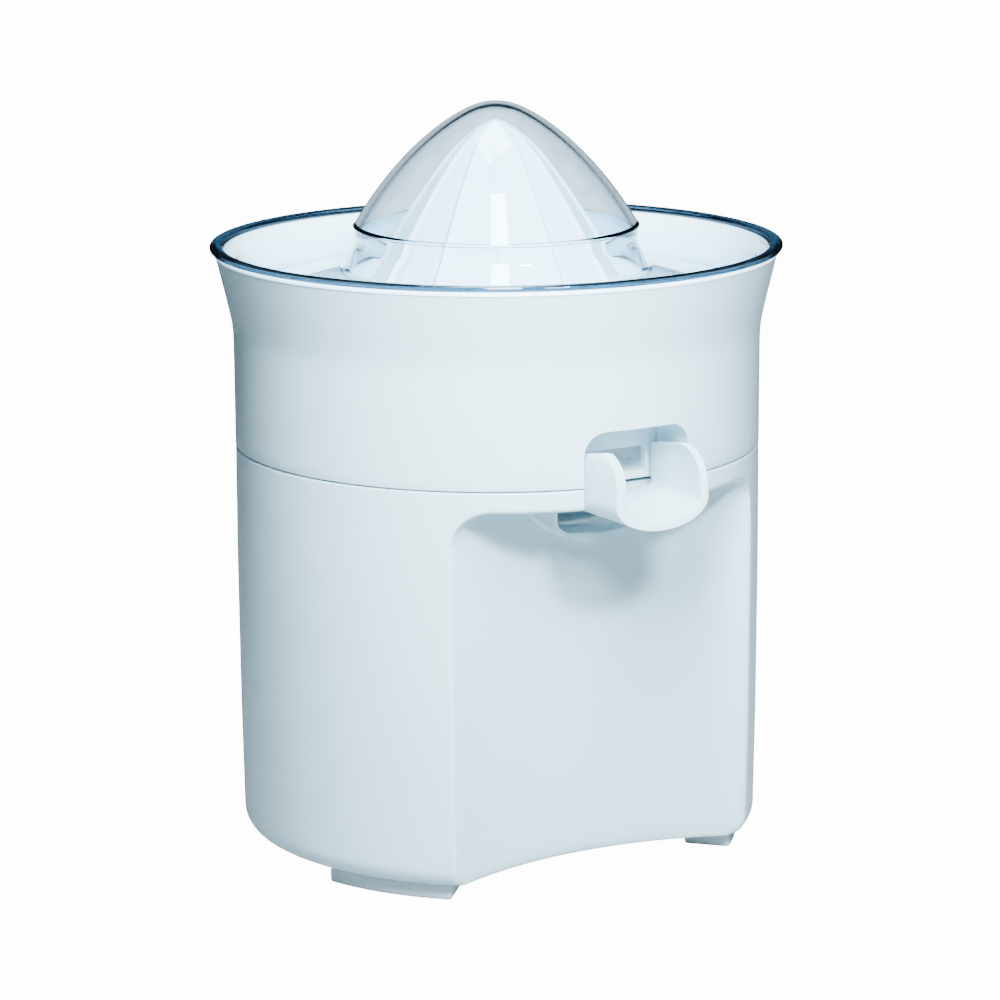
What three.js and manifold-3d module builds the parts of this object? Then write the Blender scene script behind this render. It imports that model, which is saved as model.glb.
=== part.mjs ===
// Electric citrus press: motor base with a glass bay, lift-off juice bowl with a tilting spout,
// strainer, reaming cone and clear dust cover.
// Millimetres, +Z up, origin on the table at the centre line, front of the press towards -Y.
import * as THREE from 'three';
import * as BufferGeometryUtils from 'three/addons/utils/BufferGeometryUtils.js';
import Module from 'manifold-3d';

const wasm = await Module();
wasm.setup();

// ---------------------------------------------------------------- driving dimensions
const ROUND = 48;            // facets round the big shells
const SMALL_ROUND = 16;      // facets round shafts and bores

const gap = 0.3;             // between pieces that touch
const runFit = 0.12;         // radial play of a turning shaft
const wall = 2.2;            // base housing wall
const bowlWall = 2.0;
const coverWall = 1.9;
const coneWall = 1.8;

const bodyR = 75.6;          // base and bowl at the joint line
const bottomR = 69.9;        // underside of the base
const footH = 4.5;
const bodyTopZ = 117.8;      // joint line between base and bowl
const bowlH = 56;            // bowl above the joint line
const rimR = 81;             // flared bowl rim
const ringR = 82;            // clear cover's edge
const ringH = 1.5;

const bayR = 115;            // hollow for the glass
const bayDepthY = -46;       // deepest point of the bay
const bayTopZ = 111.8;

const apronY = -57;          // front of the collar under the spout
const apronTopHalf = 26;
const apronBottomZ = 98.2;
const portBottomZ = 100.8;
const portDepth = 27;

const spoutHalf = 16.4;
const spoutLipY = -87;
const spoutLipZ = 107;       // underside of the spout at its lip
const spoutRearZ = 110.6;    // underside of the spout at its rear
const spoutShoulderZ = 115;  // where the rounded floor meets the cheeks
const spoutTopZ = 128.3;
const spoutRearTopZ = 125.5;
const spoutCornerR = 9.5;    // front upper corner of each cheek
const spoutPinch = 1;        // how far the cheeks lean in at the lip
const spoutWall = 2.6;
const spoutSidePlay = 0.6;
const spoutRearPlay = 0.6;
const spoutRearChamfer = 3;
const pivotY = -64;
const pivotZ = 122;
const pinR = 1.8;

const pocketBackY = -58;
const pocketTopZ = 133.5;
const outletH = 6.8;

const shaftR = 4;
const shaftTopZ = 178;
const pressTravel = 3;
const towerR = 11;
const towerTopZ = 138;

const domeR = 41;
const brimDrop = 11.6;
const coneR = 36.1;
const coneH = 50.7;
const ribCount = 12;

const gearModule = 1;
const pinionTeeth = 12;
const wheelTeeth = 60;
const gearFaceW = 7;
const rotorR = 12;
const coreH = 22;

// ---------------------------------------------------------------- worked-out levels
const domeH = coneH - 10.2;  // clear dome above the rim ring
const portHalf = spoutHalf - 1.2;
const spoutLipHalf = spoutHalf - 1.4;
const outletHalf = spoutHalf - 3.4;
const baseZ = footH + gap;
const deckBottomZ = bayTopZ;
const deckTopZ = deckBottomZ + wall + 0.2;
const bowlBottomZ = bodyTopZ + gap;
const rimZ = bodyTopZ + bowlH;
const ringBottomZ = rimZ + gap;
const ringTopZ = ringBottomZ + ringH;
const shellInR = bodyR - wall;
const ledgeZ = rimZ - 21.5;
const strainerZ = ledgeZ + gap;
const bowlFloorZ = deckTopZ + gap + 1.2 + bowlWall;
const chimneyTopZ = towerTopZ + 8;
const chimneyInR = towerR + 1.5;
const chimneyOutR = chimneyInR + bowlWall;
const pitchPinion = gearModule * pinionTeeth / 2;
const pitchWheel = gearModule * wheelTeeth / 2;
const centreDistance = pitchPinion + pitchWheel;
const tipWheel = pitchWheel + 0.8 * gearModule;
const boxWall = 2;
const boxR = tipWheel + boxWall + 1;
const coverTopZ = deckBottomZ - 19;
const gearboxTopZ = coverTopZ - boxWall - gap;
const secondStageZ = gearboxTopZ - 14;
const firstStageZ = secondStageZ - 10;
const gearboxFloorZ = firstStageZ - 6;
const motorTopZ = gearboxFloorZ - 2;
const coreBottomZ = motorTopZ - 6 - coreH;
const bayAxisY = bayDepthY - bayR;
const portBackY = apronY + portDepth;
const notchHalf = spoutHalf + spoutSidePlay;
const notchBackY = pocketBackY + bowlWall + gap;
const notchBottomZ = bayTopZ - 1;
const spoutRearY = pocketBackY - spoutRearPlay;

// ---------------------------------------------------------------- solids from three.js shapes
function solid(geometry) {
  const bare = geometry.index ? geometry.toNonIndexed() : geometry.clone();
  for (const name of Object.keys(bare.attributes)) {
    if (name !== 'position') {
      bare.deleteAttribute(name);
    }
  }
  const merged = BufferGeometryUtils.mergeVertices(bare, 1e-4);
  const index = merged.index.array;
  const p = merged.attributes.position.array;
  const tris = [];
  let volume = 0;
  for (let i = 0; i < index.length; i += 3) {
    const [a, b, c] = [index[i], index[i + 1], index[i + 2]];
    if (a === b || b === c || a === c) {
      continue;
    }
    tris.push(a, b, c);
    const va = new THREE.Vector3().fromArray(p, 3 * a);
    const vb = new THREE.Vector3().fromArray(p, 3 * b);
    const vc = new THREE.Vector3().fromArray(p, 3 * c);
    volume += va.dot(vb.cross(vc));
  }
  if (volume < 0) {
    tris.reverse();
  }
  const mesh = new wasm.Mesh({
    numProp: 3,
    vertProperties: new Float32Array(p),
    triVerts: new Uint32Array(tris),
  });
  return new wasm.Manifold(mesh);
}

function join(first, ...rest) {
  return rest.reduce((sum, piece) => sum.add(piece), first);
}

function cut(first, ...tools) {
  return tools.reduce((left, tool) => left.subtract(tool), first);
}

// A body of revolution about Z from [radius, z] points.
function turned(points, facets = ROUND) {
  const profile = points.map(([r, z]) => new THREE.Vector2(r, z));
  const first = points[0];
  const last = points[points.length - 1];
  if (first[0] !== 0 || last[0] !== 0) {
    profile.push(profile[0].clone());
  }
  const geometry = new THREE.LatheGeometry(profile, facets);
  geometry.rotateX(Math.PI / 2);
  return solid(geometry);
}

function cylinder(r, z0, z1, x = 0, y = 0, facets = SMALL_ROUND) {
  const geometry = new THREE.CylinderGeometry(r, r, z1 - z0, facets);
  geometry.rotateX(Math.PI / 2);
  geometry.translate(x, y, (z0 + z1) / 2);
  return solid(geometry);
}

function box(x0, x1, y0, y1, z0, z1) {
  const geometry = new THREE.BoxGeometry(x1 - x0, y1 - y0, z1 - z0);
  geometry.translate((x0 + x1) / 2, (y0 + y1) / 2, (z0 + z1) / 2);
  return solid(geometry);
}

// An outline in X and Y raised along Z.
function plate(points, z0, z1) {
  const shape = new THREE.Shape(points.map(([x, y]) => new THREE.Vector2(x, y)));
  const geometry = new THREE.ExtrudeGeometry(shape, { depth: z1 - z0, bevelEnabled: false });
  geometry.translate(0, 0, z0);
  return solid(geometry);
}

// An outline in X and Z carried along Y.
function frontCut(points, y0, y1) {
  const shape = new THREE.Shape(points.map(([x, z]) => new THREE.Vector2(x, z)));
  const geometry = new THREE.ExtrudeGeometry(shape, { depth: y1 - y0, bevelEnabled: false });
  geometry.rotateX(Math.PI / 2);
  geometry.translate(0, y1, 0);
  return solid(geometry);
}

// An outline in Y and Z carried along X.
function sideCut(points, x0, x1) {
  const shape = new THREE.Shape(points.map(([y, z]) => new THREE.Vector2(y, z)));
  const geometry = new THREE.ExtrudeGeometry(shape, { depth: x1 - x0, bevelEnabled: false });
  geometry.rotateX(Math.PI / 2);
  geometry.rotateZ(Math.PI / 2);
  geometry.translate(x0, 0, 0);
  return solid(geometry);
}

function crossPin(r, x0, x1, y, z) {
  const geometry = new THREE.CylinderGeometry(r, r, x1 - x0, SMALL_ROUND);
  geometry.rotateZ(Math.PI / 2);
  geometry.translate((x0 + x1) / 2, y, z);
  return solid(geometry);
}

function polar(r, degrees) {
  const a = THREE.MathUtils.degToRad(degrees);
  return [r * Math.cos(a), r * Math.sin(a)];
}

function arcPoints(r, from, to, steps) {
  return Array.from({ length: steps + 1 }, (_, i) => polar(r, from + (to - from) * i / steps));
}

// ---------------------------------------------------------------- materials
function finish(color, roughness, metalness = 0, opacity = 1) {
  return new THREE.MeshStandardMaterial({
    color, roughness, metalness, opacity, transparent: opacity < 1,
  });
}

const whitePlastic = finish(0xe9f0f2, 0.32);
const footPlastic = finish(0xc9d2d4, 0.55);
const clearPlastic = finish(0xdff0f0, 0.08, 0, 0.3);
const greyPlastic = finish(0x8d9294, 0.5);
const gearPlastic = finish(0xe8e2d0, 0.45);
const darkPlastic = finish(0x24272a, 0.5);
const steel = finish(0xb9bcc0, 0.3, 1);
const laminated = finish(0x6f7276, 0.5, 0.9);
const copper = finish(0xb5683c, 0.35, 0.8);
const bronze = finish(0xb08a4e, 0.4, 0.9);
const rubber = finish(0x2b2b2c, 0.8);

const press = new THREE.Group();

function addPiece(name, body, material) {
  const mesh = body.getMesh();
  const geometry = new THREE.BufferGeometry();
  geometry.setAttribute('position', new THREE.BufferAttribute(mesh.vertProperties, 3));
  geometry.setIndex(new THREE.BufferAttribute(mesh.triVerts, 1));
  geometry.computeVertexNormals();
  const piece = new THREE.Mesh(geometry, material);
  piece.name = name;
  press.add(piece);
}

// ---------------------------------------------------------------- base
const postSpots = [[-42, 46], [42, 46], [-56, -24], [56, -24]];
const gearboxSpots = [[-40, 18], [40, 18], [-28, -25], [28, -25]];
const screwR = 1.5;
const postR = 4;
const postBottomZ = baseZ + 6;

function bayTool(extra, z0, z1) {
  return cylinder(bayR + extra, z0, z1, 0, bayAxisY, 2 * ROUND);
}

// The collar hangs lowest at its middle.
function apronOutline() {
  const points = [];
  for (let i = 0; i <= 12; i += 1) {
    const s = -1 + i / 6;
    points.push([s * apronTopHalf, apronBottomZ + (bayTopZ - apronBottomZ) * Math.abs(s) ** 2.2]);
  }
  return points;
}

function portOutline() {
  const low = portBottomZ;
  const corner = 3;
  return [
    [portHalf, bayTopZ], [-portHalf, bayTopZ], [-portHalf, low + 1.6 + corner],
    [1 - portHalf, low + 2.2], [corner - portHalf, low + 1.2], [0, low],
    [portHalf - corner, low + 1.2], [portHalf - 1, low + 2.2], [portHalf, low + 1.6 + corner],
  ];
}

function baseHousing() {
  const sideBottomZ = baseZ + 5.6;
  const outer = turned([
    [0, baseZ], [bottomR, baseZ], [bottomR + 2.6, baseZ + 0.9], [bottomR + 4.3, baseZ + 2.8],
    [bodyR - 0.8, sideBottomZ], [bodyR - 0.3, 40], [bodyR, 85], [bodyR - 0.1, bodyTopZ],
    [0, bodyTopZ],
  ]);
  const inner = turned([
    [0, 0], [bottomR - 2.5, 0], [bottomR - 2.5, baseZ + 2.4], [shellInR - 2, baseZ + 4.4],
    [shellInR - 0.9, baseZ + 7.2], [shellInR, 85], [shellInR, deckBottomZ], [0, deckBottomZ],
  ]);
  const apron = frontCut(apronOutline(), apronY, bayDepthY);
  const room = cut(inner, bayTool(wall, -10, bodyTopZ + 10));
  const aboveDeck = cylinder(shellInR, deckTopZ, bodyTopZ + 5, 0, 0, ROUND);
  const portHousing = box(
    -portHalf - wall, portHalf + wall, bayDepthY, portBackY + wall, portBottomZ - wall, deckTopZ,
  );
  const portRoom = frontCut(portOutline(), -ringR, portBackY);
  const notch = box(-notchHalf, notchHalf, -ringR, notchBackY, notchBottomZ, bodyTopZ + 5);
  let body = cut(outer, bayTool(0, -10, bayTopZ), room, aboveDeck);
  body = join(body, apron, portHousing, cylinder(towerR, deckBottomZ, towerTopZ));
  body = cut(body, portRoom, notch, cylinder(shaftR + 3, 0, towerTopZ + 5));
  for (const [x, y] of postSpots) {
    body = join(body, cylinder(postR, postBottomZ, deckBottomZ + 1, x, y, 16));
    body = cut(body, cylinder(screwR + gap, postBottomZ - 1, postBottomZ + 12, x, y, 16));
  }
  for (const [x, y] of gearboxSpots) {
    body = join(body, cylinder(postR, coverTopZ + gap, deckBottomZ + 1, x, y, 16));
    body = cut(body, cylinder(screwR + gap, coverTopZ - 1, coverTopZ + 10, x, y, 16));
  }
  return cut(body, glandHole());
}

const glandZ = baseZ + 12;
const glandR = 4.5;

function backwardCylinder(r, y0, y1, z, facets = SMALL_ROUND) {
  const geometry = new THREE.CylinderGeometry(r, r, y1 - y0, facets);
  geometry.translate(0, (y0 + y1) / 2, z);
  return solid(geometry);
}

function glandHole() {
  return backwardCylinder(glandR + gap, shellInR - 8, ringR, glandZ);
}

// Bush for the mains lead in the rear wall; a flange each side holds it.
function cordGland() {
  const outside = bodyR + gap;
  const inside = shellInR - 0.9 - gap;
  const sleeve = backwardCylinder(glandR, inside - 3, outside + 3, glandZ);
  const outerFlange = backwardCylinder(glandR + 2, outside, outside + 1.6, glandZ);
  const innerFlange = backwardCylinder(glandR + 2, inside - 3, inside - 1, glandZ);
  const bore = backwardCylinder(glandR - 1.5, inside - 5, outside + 5, glandZ);
  return cut(join(sleeve, outerFlange, innerFlange), bore);
}

const coverSheetTopZ = baseZ + 2.2;

function bottomCover() {
  const sheetR = bottomR - 2.5 - gap;
  let body = cut(cylinder(sheetR, baseZ, coverSheetTopZ, 0, 0, ROUND),
    bayTool(wall + gap, -10, 40));
  const rib = cut(cylinder(40, coverSheetTopZ - 1, coverSheetTopZ + 5, 0, 4, 48),
    cylinder(38, coverSheetTopZ - 2, coverSheetTopZ + 6, 0, 4, 48));
  body = join(body, rib);
  for (let i = 0; i < 7; i += 1) {
    const x = -24 + 8 * i;
    body = cut(body, box(x - 1.5, x + 1.5, -10, 18, baseZ - 1, coverSheetTopZ + 1));
  }
  for (const [x, y] of postSpots) {
    body = join(body, cylinder(postR, baseZ, postBottomZ - gap, x, y, 16));
    body = cut(body, cylinder(screwR + gap, baseZ - 1, postBottomZ + 1, x, y, 16));
    body = cut(body, cylinder(3.2, baseZ - 1, baseZ + 2.2, x, y, 16));
  }
  return body;
}

function screw(x, y, headZ, length) {
  const head = cylinder(2.8, headZ, headZ + 1.7, x, y, 12);
  const shank = cylinder(screwR, headZ + 1, headZ + length, x, y, 10);
  const slot = box(x - 1.9, x + 1.9, y - 0.4, y + 0.4, headZ - 1, headZ + 0.7);
  return cut(join(head, shank), slot);
}

const footInR = 56;
const footHalfSpan = 16.5;

function foot(middle) {
  const outline = [
    ...arcPoints(bottomR - 0.1, middle - footHalfSpan, middle + footHalfSpan, 8),
    ...arcPoints(footInR, middle + footHalfSpan, middle - footHalfSpan, 8),
  ];
  const tread = [
    ...arcPoints(bottomR - 0.8, middle - footHalfSpan + 0.6, middle + footHalfSpan - 0.6, 8),
    ...arcPoints(footInR + 0.7, middle + footHalfSpan - 0.6, middle - footHalfSpan + 0.6, 8),
  ];
  return join(plate(outline, 0.7, footH), plate(tread, 0, 1));
}

// ---------------------------------------------------------------- motor
const coreHalfX = 27;
const coreFrontY = -20;
const coreBackY = 44;
const legFrontY = 34;
const motorShaftR = 2.5;
const motorBoltX = 22;
const motorBoltY = -4;
const motorBoltR = 1.6;

function motorBoltHoles(z0, z1) {
  const right = cylinder(motorBoltR + gap, z0, z1, motorBoltX, motorBoltY, 16);
  return join(right, cylinder(motorBoltR + gap, z0, z1, -motorBoltX, motorBoltY, 16));
}

function motorCore() {
  const top = coreBottomZ + coreH;
  const block = box(-coreHalfX, coreHalfX, coreFrontY, coreBackY, coreBottomZ, top);
  const bore = cylinder(rotorR + 0.6, coreBottomZ - 1, top + 1, 0, 0, 36);
  const window = box(-coreHalfX + 8, coreHalfX - 8, 18, legFrontY, coreBottomZ - 1, top + 1);
  return cut(block, bore, window, motorBoltHoles(coreBottomZ - 1, top + 1));
}

function motorCoil() {
  const reach = 6;
  const half = coreHalfX - 8 - gap;
  const top = coreBottomZ + coreH;
  const winding = box(
    -half, half, legFrontY - 8, coreBackY + 8, coreBottomZ - reach, top + reach - 0.5,
  );
  const leg = box(
    -half - 1, half + 1, legFrontY - gap, coreBackY + gap, coreBottomZ - gap, top + gap,
  );
  return cut(winding, leg);
}

function motorBracket(z0, z1, legTo) {
  const half = motorBoltX + 4;
  const strap = box(-half, half, motorBoltY - 5, motorBoltY + 9, z0, z1);
  const legLow = Math.min(z0, legTo);
  const legHigh = Math.max(z1, legTo);
  const rightLeg = box(motorBoltX - 4, half, motorBoltY - 5, motorBoltY + 5, legLow, legHigh);
  const leftLeg = box(-half, 4 - motorBoltX, motorBoltY - 5, motorBoltY + 5, legLow, legHigh);
  const bearing = cylinder(motorShaftR + 3, z0, z1, 0, 0);
  const bore = cylinder(motorShaftR + runFit, z0 - 5, z1 + 5);
  return cut(join(strap, rightLeg, leftLeg, bearing), bore, motorBoltHoles(legLow - 1, legHigh + 1));
}

const lowerBracketZ = coreBottomZ - 8;
const upperBracketZ = motorTopZ - 2;

function motorRotor() {
  const core = cylinder(rotorR, coreBottomZ + 1, coreBottomZ + coreH - 1, 0, 0, 36);
  const shaft = cylinder(motorShaftR, lowerBracketZ - 2, firstStageZ + 1);
  const pinion = gearWheel(pinionTeeth, firstStageZ - 1, firstStageZ + gearFaceW, 0);
  return join(core, shaft, pinion);
}

function motorScrew(side) {
  const x = side * motorBoltX;
  const headZ = lowerBracketZ - 2.4;
  const head = cylinder(3.2, headZ, headZ + 2.1, x, motorBoltY, 6);
  const shank = cylinder(motorBoltR, headZ + 1, gearboxFloorZ + 4, x, motorBoltY, 16);
  return join(head, shank);
}

// ---------------------------------------------------------------- gears
// Tooth outline of a spur gear about the origin; turn is in pitches.
function gearOutline(teeth, turn) {
  const pitch = 2 * Math.PI / teeth;
  const r = gearModule * teeth / 2;
  const flank = [[-0.28, -1.2], [-0.13, 0.8], [0.13, 0.8], [0.28, -1.2]];
  const points = [];
  for (let i = 0; i < teeth; i += 1) {
    for (const [share, rise] of flank) {
      const a = (i + turn + share) * pitch;
      const tip = r + rise * gearModule;
      points.push([tip * Math.cos(a), tip * Math.sin(a)]);
    }
  }
  return points;
}

// With sixty or twelve teeth a quarter turn is a whole number of pitches, so the tooth or gap on
// +X is also on the line of centres along +Y; half a pitch of turn puts a gap there.
function gearWheel(teeth, z0, z1, turn, x = 0, y = 0) {
  const points = gearOutline(teeth, turn).map(([px, py]) => [px + x, py + y]);
  return plate(points, z0, z1);
}

function intermediateGear() {
  const wheel = gearWheel(wheelTeeth, firstStageZ, firstStageZ + gearFaceW - 1, 0.5,
    0, centreDistance);
  const pinion = gearWheel(pinionTeeth, firstStageZ + gearFaceW - 2,
    secondStageZ + gearFaceW + 1, 0, 0, centreDistance);
  const bore = cylinder(axleR + runFit, 0, 200, 0, centreDistance);
  return cut(join(wheel, pinion), bore);
}

const axleR = 2.5;

function intermediateAxle() {
  return cylinder(axleR, gearboxFloorZ - 1, gearboxTopZ + gap + boxWall - 0.5, 0, centreDistance);
}

const hubR = 8;
const hubTopZ = coverTopZ + 2;
const hexR = shaftR;

function outputGear() {
  const wheel = gearWheel(wheelTeeth, secondStageZ, secondStageZ + gearFaceW, 0.5);
  const lightening = cut(
    cylinder(pitchWheel - 5, secondStageZ + gearFaceW - 2.5, secondStageZ + gearFaceW + 1, 0, 0, 48),
    cylinder(hubR + 2, secondStageZ, secondStageZ + gearFaceW + 2, 0, 0, 32),
  );
  const hub = cylinder(hubR, secondStageZ - 1, hubTopZ, 0, 0, 32);
  const hexBore = cylinder(hexR + gap, secondStageZ - 5, hubTopZ + 5, 0, 0, 6);
  return cut(join(cut(wheel, lightening), hub), hexBore);
}

function gearboxOutline(z0, z1, r) {
  const round = cylinder(r, z0, z1, 0, 0, 48);
  const rear = cylinder(r, z0, z1, 0, centreDistance, 48);
  return join(round, rear, box(-r, r, 0, centreDistance, z0, z1));
}

function gearboxEars(z0, z1) {
  const ears = gearboxSpots.map(([x, y]) => {
    const lug = cylinder(5, z0, z1, x, y, 20);
    const bridge = box(Math.min(x, x * 0.6), Math.max(x, x * 0.6), y - 4, y + 4, z0, z1);
    return join(lug, bridge);
  });
  return join(...ears);
}

function gearboxEarHoles() {
  const holes = gearboxSpots.map(([x, y]) => cylinder(screwR + gap, 0, 200, x, y, 16));
  return join(...holes);
}

function gearboxHousing() {
  const top = gearboxTopZ;
  const outer = gearboxOutline(gearboxFloorZ, top, boxR);
  const inner = gearboxOutline(gearboxFloorZ + boxWall, top + 5, boxR - boxWall);
  const ears = cut(gearboxEars(top - 3, top), inner);
  const boss = cylinder(6, gearboxFloorZ, firstStageZ - 0.6, 0, centreDistance);
  const axleHole = cylinder(axleR + runFit, 0, 200, 0, centreDistance);
  const shaftHole = cylinder(motorShaftR + 2, 0, gearboxFloorZ + 5);
  const shell = join(cut(outer, inner), ears, boss);
  return cut(shell, axleHole, shaftHole, gearboxEarHoles(), motorBoltHoles(0, firstStageZ));
}

function gearboxCover() {
  const z0 = gearboxTopZ + gap;
  const lid = join(gearboxOutline(z0, coverTopZ, boxR), gearboxEars(z0, coverTopZ));
  const hubHole = cylinder(hubR + runFit + 0.1, 0, 200, 0, 0, 32);
  const axleHole = cylinder(axleR + runFit, 0, coverTopZ + 5, 0, centreDistance);
  return cut(lid, hubHole, axleHole, gearboxEarHoles());
}

function gearboxScrew([x, y]) {
  return screw(x, y, gearboxTopZ - 3 - 2 - gap, 15);
}

// ---------------------------------------------------------------- drive shaft and switch
const collarR = 12;
const collarTopZ = deckBottomZ - 3;
const collarZ = collarTopZ - 2;
const springZ = hubTopZ + gap;
const springR = 6.2;
const wireR = 0.7;
const bushOutR = shaftR + 3 - gap;

function driveShaft() {
  const hexTail = cylinder(hexR, secondStageZ + pressTravel + 0.5, collarZ + 1, 0, 0, 6);
  const rod = cylinder(shaftR, collarZ, shaftTopZ - 24);
  const hexHead = cylinder(hexR, shaftTopZ - 25, shaftTopZ, 0, 0, 6);
  const collar = cylinder(collarR, collarZ, collarTopZ, 0, 0, 36);
  return join(hexTail, rod, hexHead, collar);
}

function lowerBush() {
  const flange = cylinder(bushOutR + 2, collarTopZ + gap, deckBottomZ - gap, 0, 0);
  const sleeve = cylinder(bushOutR, collarTopZ + 1, deckBottomZ + 9);
  return cut(join(flange, sleeve), cylinder(shaftR + runFit, 0, 200));
}

function upperBush() {
  const sleeve = cylinder(bushOutR, towerTopZ - 12, towerTopZ - 3);
  return cut(sleeve, cylinder(shaftR + runFit, 0, 200));
}

// Lip seal: a cap over the tower's top.
function shaftSeal() {
  const sleeve = cylinder(bushOutR, towerTopZ - 2.6, towerTopZ + gap + 1);
  const cap = cylinder(towerR - 0.5, towerTopZ + gap, towerTopZ + 2.3, 0, 0, 32);
  return cut(join(sleeve, cap), cylinder(shaftR + runFit, 0, 200));
}

class SpringCurve extends THREE.Curve {
  constructor(r, z0, z1, turns) {
    super();
    this.r = r;
    this.z0 = z0;
    this.z1 = z1;
    this.turns = turns;
  }

  getPoint(t, target = new THREE.Vector3()) {
    const a = 2 * Math.PI * this.turns * t;
    return target.set(
      this.r * Math.cos(a), this.r * Math.sin(a), this.z0 + (this.z1 - this.z0) * t,
    );
  }
}

function returnSpring() {
  const turns = 4;
  const path = new SpringCurve(springR, springZ + wireR, collarZ - gap - wireR, turns);
  const section = new THREE.Shape(arcPoints(wireR, 0, 360 - 60, 5).map(([x, y]) =>
    new THREE.Vector2(x, y)));
  const geometry = new THREE.ExtrudeGeometry(section, { steps: turns * 10, extrudePath: path });
  return solid(geometry);
}

const switchX = 30;
const leverZ = collarZ - 5.5;

function microSwitch() {
  const z0 = coverTopZ + gap;
  const body = box(switchX - 9, switchX + 7, -5, 5, z0, leverZ - pressTravel);
  const ears = join(
    box(switchX + 4, switchX + 7, -5, -3, z0, leverZ + 3),
    box(switchX + 4, switchX + 7, 3, 5, z0, leverZ + 3),
  );
  return join(body, ears);
}

// The lever's far end lies under the shaft's collar.
function switchLever() {
  const arm = box(collarR - 2.5, switchX + 6.5, -2.5, 2.5, leverZ, leverZ + 1);
  const fingertip = box(collarR - 2.5, collarR + 1, -2.5, 2.5, leverZ, collarZ - gap);
  return join(arm, fingertip);
}

const terminalX = -16;

function terminalBlock() {
  const z0 = coverSheetTopZ + gap;
  let body = box(terminalX - 6, terminalX + 6, 44, 58, z0, z0 + 10);
  for (const dy of [-3.5, 3.5]) {
    body = cut(body, cylinder(1.7, z0 + 5, z0 + 12, terminalX, 51 + dy, 16));
  }
  return body;
}

// ---------------------------------------------------------------- bowl, strainer and spout
function bowlOuter(z) {
  const flareStart = bowlBottomZ + 0.6 * bowlH;
  const s = Math.max(0, (z - flareStart) / (rimZ - flareStart));
  return bodyR + 0.3 + (rimR - bodyR - 0.3) * (0.35 * s + 0.65 * s * s) - 0.3;
}

function juiceBowl() {
  const steps = 8;
  const outside = [];
  const inside = [];
  for (let i = 0; i <= steps; i += 1) {
    const z = bowlBottomZ + (rimZ - bowlBottomZ) * i / steps;
    outside.push([bowlOuter(z), z]);
    if (z > ledgeZ + 1) {
      inside.unshift([bowlOuter(z) - bowlWall, z]);
    }
  }
  const innerR = bodyR - bowlWall;
  const ringOutR = shellInR - gap;
  const body = turned([
    ...outside,
    ...inside,
    [innerR + 0.4, ledgeZ], [innerR - 3.2, ledgeZ], [innerR - 3.2, ledgeZ - 1.5],
    [innerR, ledgeZ - 5], [innerR, bowlFloorZ], [chimneyOutR + 4, bowlFloorZ + 4],
    [chimneyOutR, bowlFloorZ + 8], [chimneyOutR, chimneyTopZ], [chimneyInR, chimneyTopZ],
    [chimneyInR, bowlFloorZ + 1.5], [ringOutR - bowlWall, bowlFloorZ - bowlWall],
    [ringOutR - bowlWall, deckTopZ + gap], [ringOutR, deckTopZ + gap], [ringOutR, bowlBottomZ],
  ]);
  const half = notchHalf;
  const envelope = cylinder(bodyR - 0.5, deckTopZ, rimZ, 0, 0, ROUND);
  const pocketBlock = box(-half - bowlWall, half + bowlWall, -ringR, pocketBackY + bowlWall,
    bowlBottomZ, pocketTopZ + bowlWall);
  const pocketFoot = box(-half - bowlWall, half + bowlWall, pocketBackY - 5,
    pocketBackY + bowlWall, bowlFloorZ - bowlWall - gap, bowlBottomZ + 1);
  const pocketRoom = box(-half, half, -ringR - 5, pocketBackY, deckTopZ - 5, pocketTopZ);
  const outlet = box(-outletHalf, outletHalf, pocketBackY - 5, pocketBackY + 8,
    bowlFloorZ, bowlFloorZ + outletH);
  const pinHoles = crossPin(pinR + 0.1, -half - 5, half + 5, pivotY, pivotZ);
  const backLip = box(gap - half, half - gap, pocketBackY, pocketBackY + bowlWall,
    notchBottomZ + 1 + gap, bowlFloorZ);
  const walled = join(body, pocketBlock.intersect(envelope), pocketFoot, backLip);
  return cut(walled, pocketRoom, outlet, pinHoles);
}

function strainer() {
  const rimOutR = bodyR - bowlWall - 1;
  const floorTopZ = strainerZ + 2;
  const hubOutR = chimneyOutR + 2.6;
  let body = turned([
    [hubOutR - 2, chimneyTopZ - 4], [hubOutR, chimneyTopZ - 4], [hubOutR, strainerZ],
    [rimOutR, strainerZ], [rimOutR, strainerZ + 5.2], [rimOutR - 1.6, strainerZ + 5.2],
    [rimOutR - 1.6, floorTopZ], [hubOutR + 0.5, floorTopZ], [hubOutR, strainerZ + 5.5],
    [hubOutR - 2, strainerZ + 5.5],
  ]);
  const slots = 40;
  const narrow = 1.6;
  for (let i = 0; i < slots; i += 1) {
    const geometry = new THREE.BoxGeometry(28, narrow, 8);
    geometry.translate(50, 0, strainerZ + 1);
    geometry.rotateZ(2 * Math.PI * (i + 0.5) / slots);
    body = cut(body, solid(geometry));
  }
  return body;
}

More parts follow.
